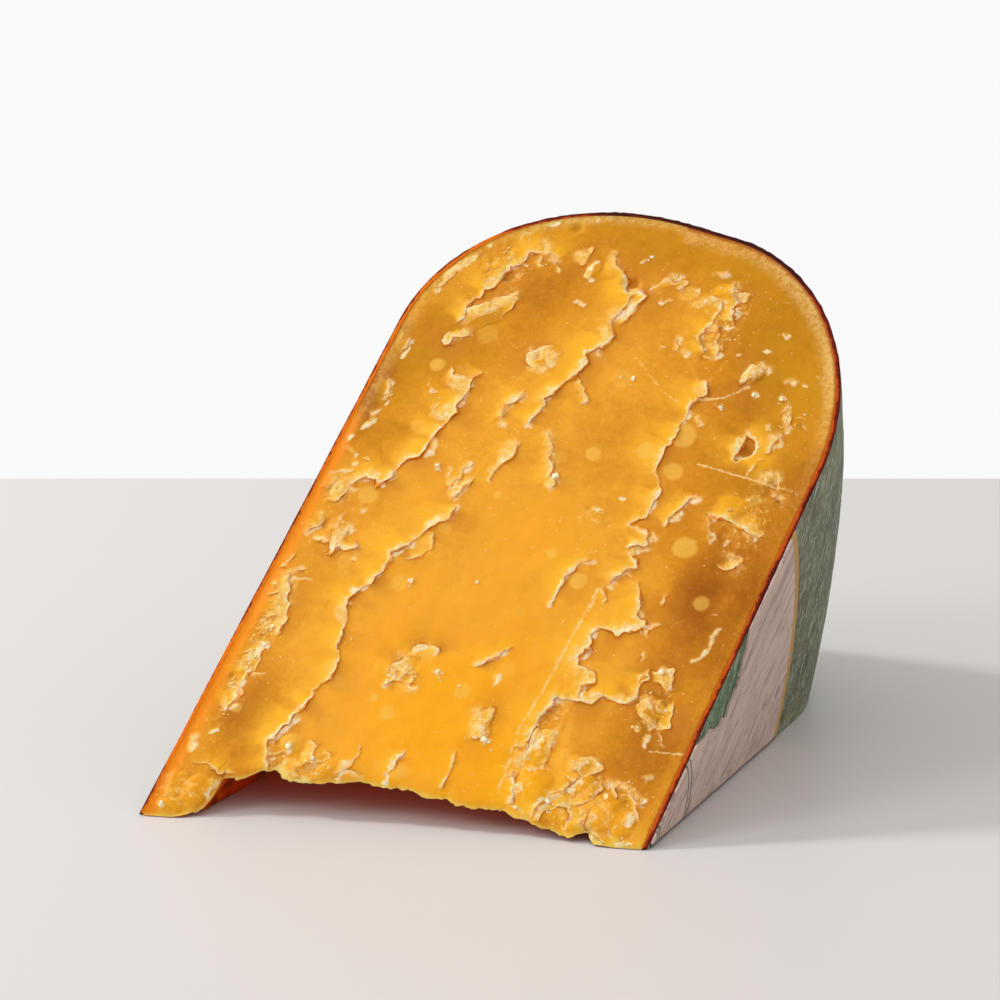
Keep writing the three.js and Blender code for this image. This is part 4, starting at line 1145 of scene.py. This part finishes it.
def makeCoat(material):
    # path: from the left flat's corner out to its rim, over the rim, and back in to the right flat's corner
    (leftWidth, leftDepth), (rightWidth, rightDepth) = wheel["leftRim"], wheel["rightRim"]
    straight = half - rightWidth
    leftArc, rightArc = leftWidth * 1.5, rightWidth * 1.65
    travel = np.linspace(0, leftArc + straight + rightArc, coat["rimColumns"])
    leftTurn = pi / 2 * clamp01(1 - travel / leftArc)
    rightTurn = pi / 2 * clamp01((travel - leftArc - straight) / rightArc)
    between = np.clip(travel - leftArc, 0, straight)
    flats = coat["flatColumns"]
    flatShare = np.linspace(0.004, 1, flats + 1)[:-1]
    outShare = np.concatenate([flatShare, np.ones(len(travel)), flatShare[::-1]])[:, None]

    def surface(inset, turn, pull):
        # places over the path and over the turn from the front cut (0) to the table (1), pulled behind it
        left = wheel["radius"] - leftDepth + (leftDepth - inset) * np.cos(leftTurn)
        right = wheel["radius"] - rightDepth + (rightDepth - inset) * np.cos(rightTurn)
        radius = np.pad(np.where(travel < leftArc, left, right), flats, mode="edge")[:, None]
        x = -(leftWidth - inset) * np.sin(leftTurn) + between + (rightWidth - inset) * np.sin(rightTurn)
        x = np.pad(x, flats, constant_values=(-half + inset, half - inset))[:, None]
        floor = tableUp(x)
        angle = wheel["wedgeAngle"] + (np.arcsin(floor / radius) - wheel["wedgeAngle"]) * turn
        fromFlat = half - np.abs(x)
        if inset == 0:
            waves = noise(x / 20, angle * 6, 70) + 0.5 * noise(x / 6, angle * 22, 71)
            radius = radius + coat["unevenness"] * ease(fromFlat / 4) * np.sin(pi * turn) * waves
            radius = radius + 0.2 * noise(x / 1.1, angle * 60, 72) * ease(fromFlat / 2)
        apex = np.minimum(0, floor)
        back = apex + (radius * np.cos(angle) - apex) * outShare
        up = np.maximum(apex + (radius * np.sin(angle) - apex) * outShare, floor)
        if inset == 0:
            dents = np.minimum(0, 0.1 * layered(back / 9, up / 9, 74, 3))
            x = x + np.where(fromFlat <= 0.01, np.sign(x), 0) * dents
        back, up = back + pull * cutSin, np.maximum(up - pull * cutCos, floor)
        return back, up, np.broadcast_to(x, back.shape)

    # rows: down the outside, up the inside and back over the cut edge
    outerTurn = np.linspace(0, 1, coat["outerRows"])
    rowsOfSurface = [
        surface(0.0, outerTurn, np.where(outerTurn == 0, coat["bevel"], 0.0)),
        surface(wheel["coat"], np.linspace(1, 0, coat["innerRows"]), 0.0),
        *(surface(inset, np.zeros(1), -coat["edgeBulge"]) for inset in coat["edgeSteps"]),
        surface(coat["bevel"], np.zeros(1), 0.0)]
    back, up, x = (np.concatenate(parts, 1) for parts in zip(*rowsOfSurface))
    columns, rows = back.shape
    cut = np.ones(back.shape)
    cut[:, 1:coat["outerRows"]] = 0
    depth = np.concatenate([np.zeros(coat["outerRows"]), np.full(coat["innerRows"], wheel["coat"]),
                            coat["edgeSteps"], [0.1]])
    fromCentre = np.hypot(back, up)
    under = (back - up) / 2 ** 0.5  # how far below the front cut
    start, end, deep = coat["strip"]
    bare = ease((fromCentre - start) / 2) * ease((end - fromCentre) / 2) * ease((deep - under) / 3)
    marks = {
        "cut": cut,
        "depth": np.tile(depth, columns),
        # where the cut edge gets a painted glow from the side light
        "leftGlow": ease((-x - 40) / 10),
        "top": ease((x + 30) / 12) * ease((48 - x) / 16),
        "strip": bare * (x > half - 0.5),
    }
    points = toRow(back, up, x).reshape(-1, 3)
    return meshPiece("rindCoat", material, points, loopFaces(columns, rows), smooth=50, marks=marks)


def makeCoatMaterial():
    material, bench, shader, where = newMaterial("waxCoat")
    add, times, ramp, mark = bench.add, bench.times, bench.ramp, bench.mark
    soft = bench.mottle(where, 45.0, 900.0)
    # streaks run up and down the piece as the wheel lies
    lines = bench.place("Mapping", {
        "Vector": where, "Rotation": (0, wheel["axisTilt"], 0), "Scale": (14, 14, 1)}).outputs[0]
    streak = bench.noise(lines, 30.0, 4.0, 0.6, 0.6)
    thin = bench.noise(lines, 95.0, 3.0, 0.65, 1.2)
    pale = bench.calc("MAXIMUM", ramp(streak, 0.57, 0.68), ramp(thin, 0.53, 0.62))
    outside = bench.paint(coat["deepGreen"], coat, (
        (ramp(soft["Patches"], 0.1, 0.9, 0.35, 1.0), "green"),
        (ramp(mark("strip"), 0.3, 0.7, 0, 0.8), "stripGreen"),
        (ramp(streak, 0.52, 0.4, 0, 0.5), "deepGreen"),
        (times(pale, 0.78), "scratch"),
        (ramp(soft["Specks"], 0, 1, 0, 0.25), "deepGreen"),
    ))
    # the cut edge of the coat: dark outside, red to orange inside, dark right through at the top, with a
    # painted orange glow on the left where the side light would shine through
    grit = bench.noise(where, 500.0, 3.0, 0.6)
    cut, leftGlow = mark("cut"), mark("leftGlow")
    inward = add(mark("depth"), times(mark("top"), -0.9), ramp(soft["Patches"], 0, 1, -0.3, 0.3),
                 ramp(grit, 0.35, 0.65, -0.2, 0.2), times(leftGlow, 0.4))
    warm = bench.blend(coat["cutOrange"], leftGlow, coat["leftGlowOrange"])
    cutColour = bench.blend(coat["cutRed"], ramp(inward, 0.4, 1.05), warm)
    cutColour = bench.blend(cutColour, ramp(inward, 0.3, -0.3, 0, 0.85), coat["cutDark"])
    bench.feed(shader, {
        "Base Color": bench.blend(outside, ramp(cut, 0.1, 0.6), cutColour),
        "Roughness": add(ramp(streak, 0.3, 0.7, 0.42, 0.6), times(cut, 0.3)),
        "Normal": bench.bump(add(times(soft["Grain"], 0.5), streak, thin), 0.5, 0.0006),
        "Specular IOR Level": 0.15,
        "Subsurface Weight": 0.12,
        "Subsurface Radius": (1.0, 0.3, 0.1),
        "Subsurface Scale": 0.001,
    })
    return material


rindCoat = makeCoat(makeCoatMaterial())
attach(rindCoat, "root")


# The paper label

label = {
    "radius": 92.0,
    "hole": 2.2,  # radius at which the columns start
    "columns": 180,
    "rows": 120,
    "lift": 0.42,
    "under": 0.06,
    "gap": 0.15,
    "tornAway": [  # distance from the centre, and how far the paper stops short of the front cut there
        (0, 0), (29.3, 0), (32.9, 2.1), (38, 6), (41.6, 11), (45.6, 11.6), (52.2, 10), (58.2, 4.8), (62.8, 0),
        (92, 0),
    ],
    "streakWay": (0.643, 0.766),  # back and up
    "rings": (5.2, 6.7, 23.4, 25.3),
    "mauve": colour(212, 184, 168),
    "dusk": colour(132, 108, 102),
    "pink": colour(220, 192, 178),
    "ochre": colour(196, 148, 70),
    "ringInk": colour(72, 84, 66),
    "tableEdgeShade": colour(98, 52, 44),
}


def makeLabel(material):
    # polar grid on the flat: out from the centre, and from the table up to where the paper is torn
    columns, rows = label["columns"], label["rows"]
    r = np.linspace(label["hole"], label["radius"], columns)
    torn = np.array(label["tornAway"], float)
    away = np.interp(r, torn[:, 0], torn[:, 1])
    away = away + ease(away / 2) * (0.8 * noise(r / 2.3, r * 0, 80) + 0.5 * noise(r / 0.9, r * 0, 81))
    away = label["gap"] + np.maximum(0, away) + 0.12 * (1 + noise(r / 1.7, r * 0, 82))
    low = np.arcsin(np.minimum(1, 0.5 / r))
    high = wheel["wedgeAngle"] - np.arcsin(np.minimum(0.9, away / r))
    share = np.linspace(0, 1, rows)
    angle = low[:, None] + np.maximum(0.01, high - low)[:, None] * share
    back, up = r[:, None] * np.cos(angle), r[:, None] * np.sin(angle)
    wave = 0.5 + 0.5 * noise((back + up) / 5, (up - back) / 28, 83)
    lift = label["lift"] + 0.16 * wave + 0.25 * ease((away[:, None] - 2) / 4) * ease((share - 0.93) / 0.07)
    # rows run up the face of the paper and down again behind it
    back, up = (np.concatenate([way, way[:, ::-1]], 1) for way in (back, up))
    lift = np.concatenate([lift, np.full(lift.shape, label["under"])], 1)
    points = toRow(back, up, half + lift).reshape(-1, 3)
    # the two ends are closed by joining each place of the face to the one behind it
    index, around = np.arange(rows - 1), 2 * rows
    end = np.stack([index, index + 1, around - 2 - index, around - 1 - index], -1)
    quads = np.concatenate([loopFaces(columns, around), end[:, ::-1], end + (columns - 1) * around])
    wayBack, wayUp = label["streakWay"]
    marks = {
        "fromCentre": np.repeat(r, around),
        "along": back * wayBack + up * wayUp,
        "side": up * wayBack - back * wayUp,
        "above": up,
    }
    return meshPiece("paperLabel", material, points, quads, smooth=40, marks=marks)


def makeLabelMaterial():
    material, bench, shader, where = newMaterial("labelPaper")
    ramp, mark = bench.ramp, bench.mark
    soft = bench.mottle(where, 70.0, 1200.0)
    spread = bench.place("CombineXYZ", {0: bench.times(mark("along"), 0.1), 1: mark("side")}).outputs[0]
    streak = bench.noise(spread, 0.42, 5.0, 0.62, 1.3)
    veins = bench.distance(bench.noise(spread, 0.17, 4.0, 0.55, 2.2), 0.5)
    fromCentre = mark("fromCentre")
    lines = [ramp(bench.distance(fromCentre, ring), 0.42, 0.2) for ring in label["rings"]]
    ink = bench.calc("MAXIMUM", *lines)
    heights = bench.add(bench.times(soft["Grain"], 0.4), bench.times(streak, 1.2))
    bench.feed(shader, {
        "Base Color": bench.paint(label["mauve"], label, (
            (ramp(soft["Patches"], 0, 1), "pink"),
            (ramp(streak, 0.5, 0.66, 0, 0.6), "dusk"),
            (ramp(veins, 0.02, 0.004, 0, 0.75), "dusk"),
            (bench.times(ink, 0.8), "ringInk"),
            (ramp(fromCentre, 89.3, 89.7), "ochre"),
            # painted shade along the bottom edge where the paper meets the table
            (ramp(mark("above"), 1.2, 0.7, 0, 0.8), "tableEdgeShade"),
        )),
        "Roughness": ramp(soft["Grain"], 0.3, 0.7, 0.5, 0.68),
        "Normal": bench.bump(heights, 0.35, 0.0004),
    })
    return material


paperLabel = makeLabel(makeLabelMaterial())
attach(paperLabel, "root")
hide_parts("paper_label")


# Floor, light and camera

studio = {
    "floor": colour(209, 204, 201),
    "floorHalf": 1.3,  # how far the table reaches to both sides, in metres
    "floorFront": -1.7,
    "floorEdge": 0.2727,  # how far behind the middle the table ends
    "wall": (0.955, 0.955, 0.955, 1.0),
    "skyHigh": 0.84,
    "skyLow": 0.46,
    "camera": (0.348036, -0.850623, 0.301400),
    "target": (-0.002414, -0.029353, 0.069950),
    "lens": 134.3,
    "lights": [  # name, way to the light, distance, size, watts
        ("sideLight", (-0.828, -0.043, 0.559), 1.7, 0.26, 16.5),
        ("frontLight", (-0.644, -0.579, 0.5), 1.7, 0.7, 6.5),
    ],
}


def makeFloor():
    # a plain table, square to the camera
    material, bench, shader, _ = newMaterial("paleFloor")
    bench.feed(shader, {"Base Color": studio["floor"], "Roughness": 0.45})
    sight = np.array(studio["target"]) - studio["camera"]
    sight = np.array([sight[0], sight[1], 0]) / np.hypot(sight[0], sight[1])
    sideways = np.array([sight[1], -sight[0], 0])
    side, front, edge = studio["floorHalf"], studio["floorFront"], studio["floorEdge"]
    corners = [sideways * a + sight * b
               for a, b in ((-side, front), (side, front), (side, edge), (-side, edge))]
    below = [0, 0, 0.0002]
    return meshPiece("floor", material, np.array(corners) - below, np.array([[0, 1, 2, 3]]), closed=False)


def makeSky():
    # a soft sky, brighter above, that the camera sees as a plain pale wall
    world = bpy.data.worlds.new("studio")
    bpy.context.scene.world = world
    world.use_nodes = True
    bench = Bench(world.node_tree)
    way = bench.place("SeparateXYZ", {0: bench.place("TexCoord").outputs["Generated"]}).outputs["Z"]
    glow = bench.ramp(way, -0.05, 0.7, studio["skyLow"], studio["skyHigh"])
    grey = bench.place("CombineColor", {0: glow, 1: glow, 2: glow}).outputs[0]
    seen = bench.place("LightPath").outputs["Is Camera Ray"]
    bench.feed(world.node_tree.nodes["Background"], {"Color": bench.blend(grey, seen, studio["wall"])})


def standAt(name, data, place):
    # puts a lamp or the camera at a place, looking at the target
    holder = bpy.data.objects.new(name, data)
    holder.location = place
    holder.rotation_euler = (holder.location - Vector(studio["target"])).to_track_quat("Z", "Y").to_euler()
    bpy.context.scene.collection.objects.link(holder)
    return holder


def makeStudio():
    floor = makeFloor()
    makeSky()
    for name, way, distance, size, watts in studio["lights"]:
        lamp = bpy.data.lights.new(name, "AREA")
        lamp.shape, lamp.size, lamp.energy = "DISK", size, watts
        standAt(name, lamp, Vector(studio["target"]) + Vector(way).normalized() * distance)
    lens = bpy.data.cameras.new("camera")
    lens.lens, lens.sensor_width = studio["lens"], 36
    bpy.context.scene.camera = standAt("camera", lens, Vector(studio["camera"]))
    bpy.context.scene.view_settings.view_transform = "Standard"


makeStudio()
print("studio ready")
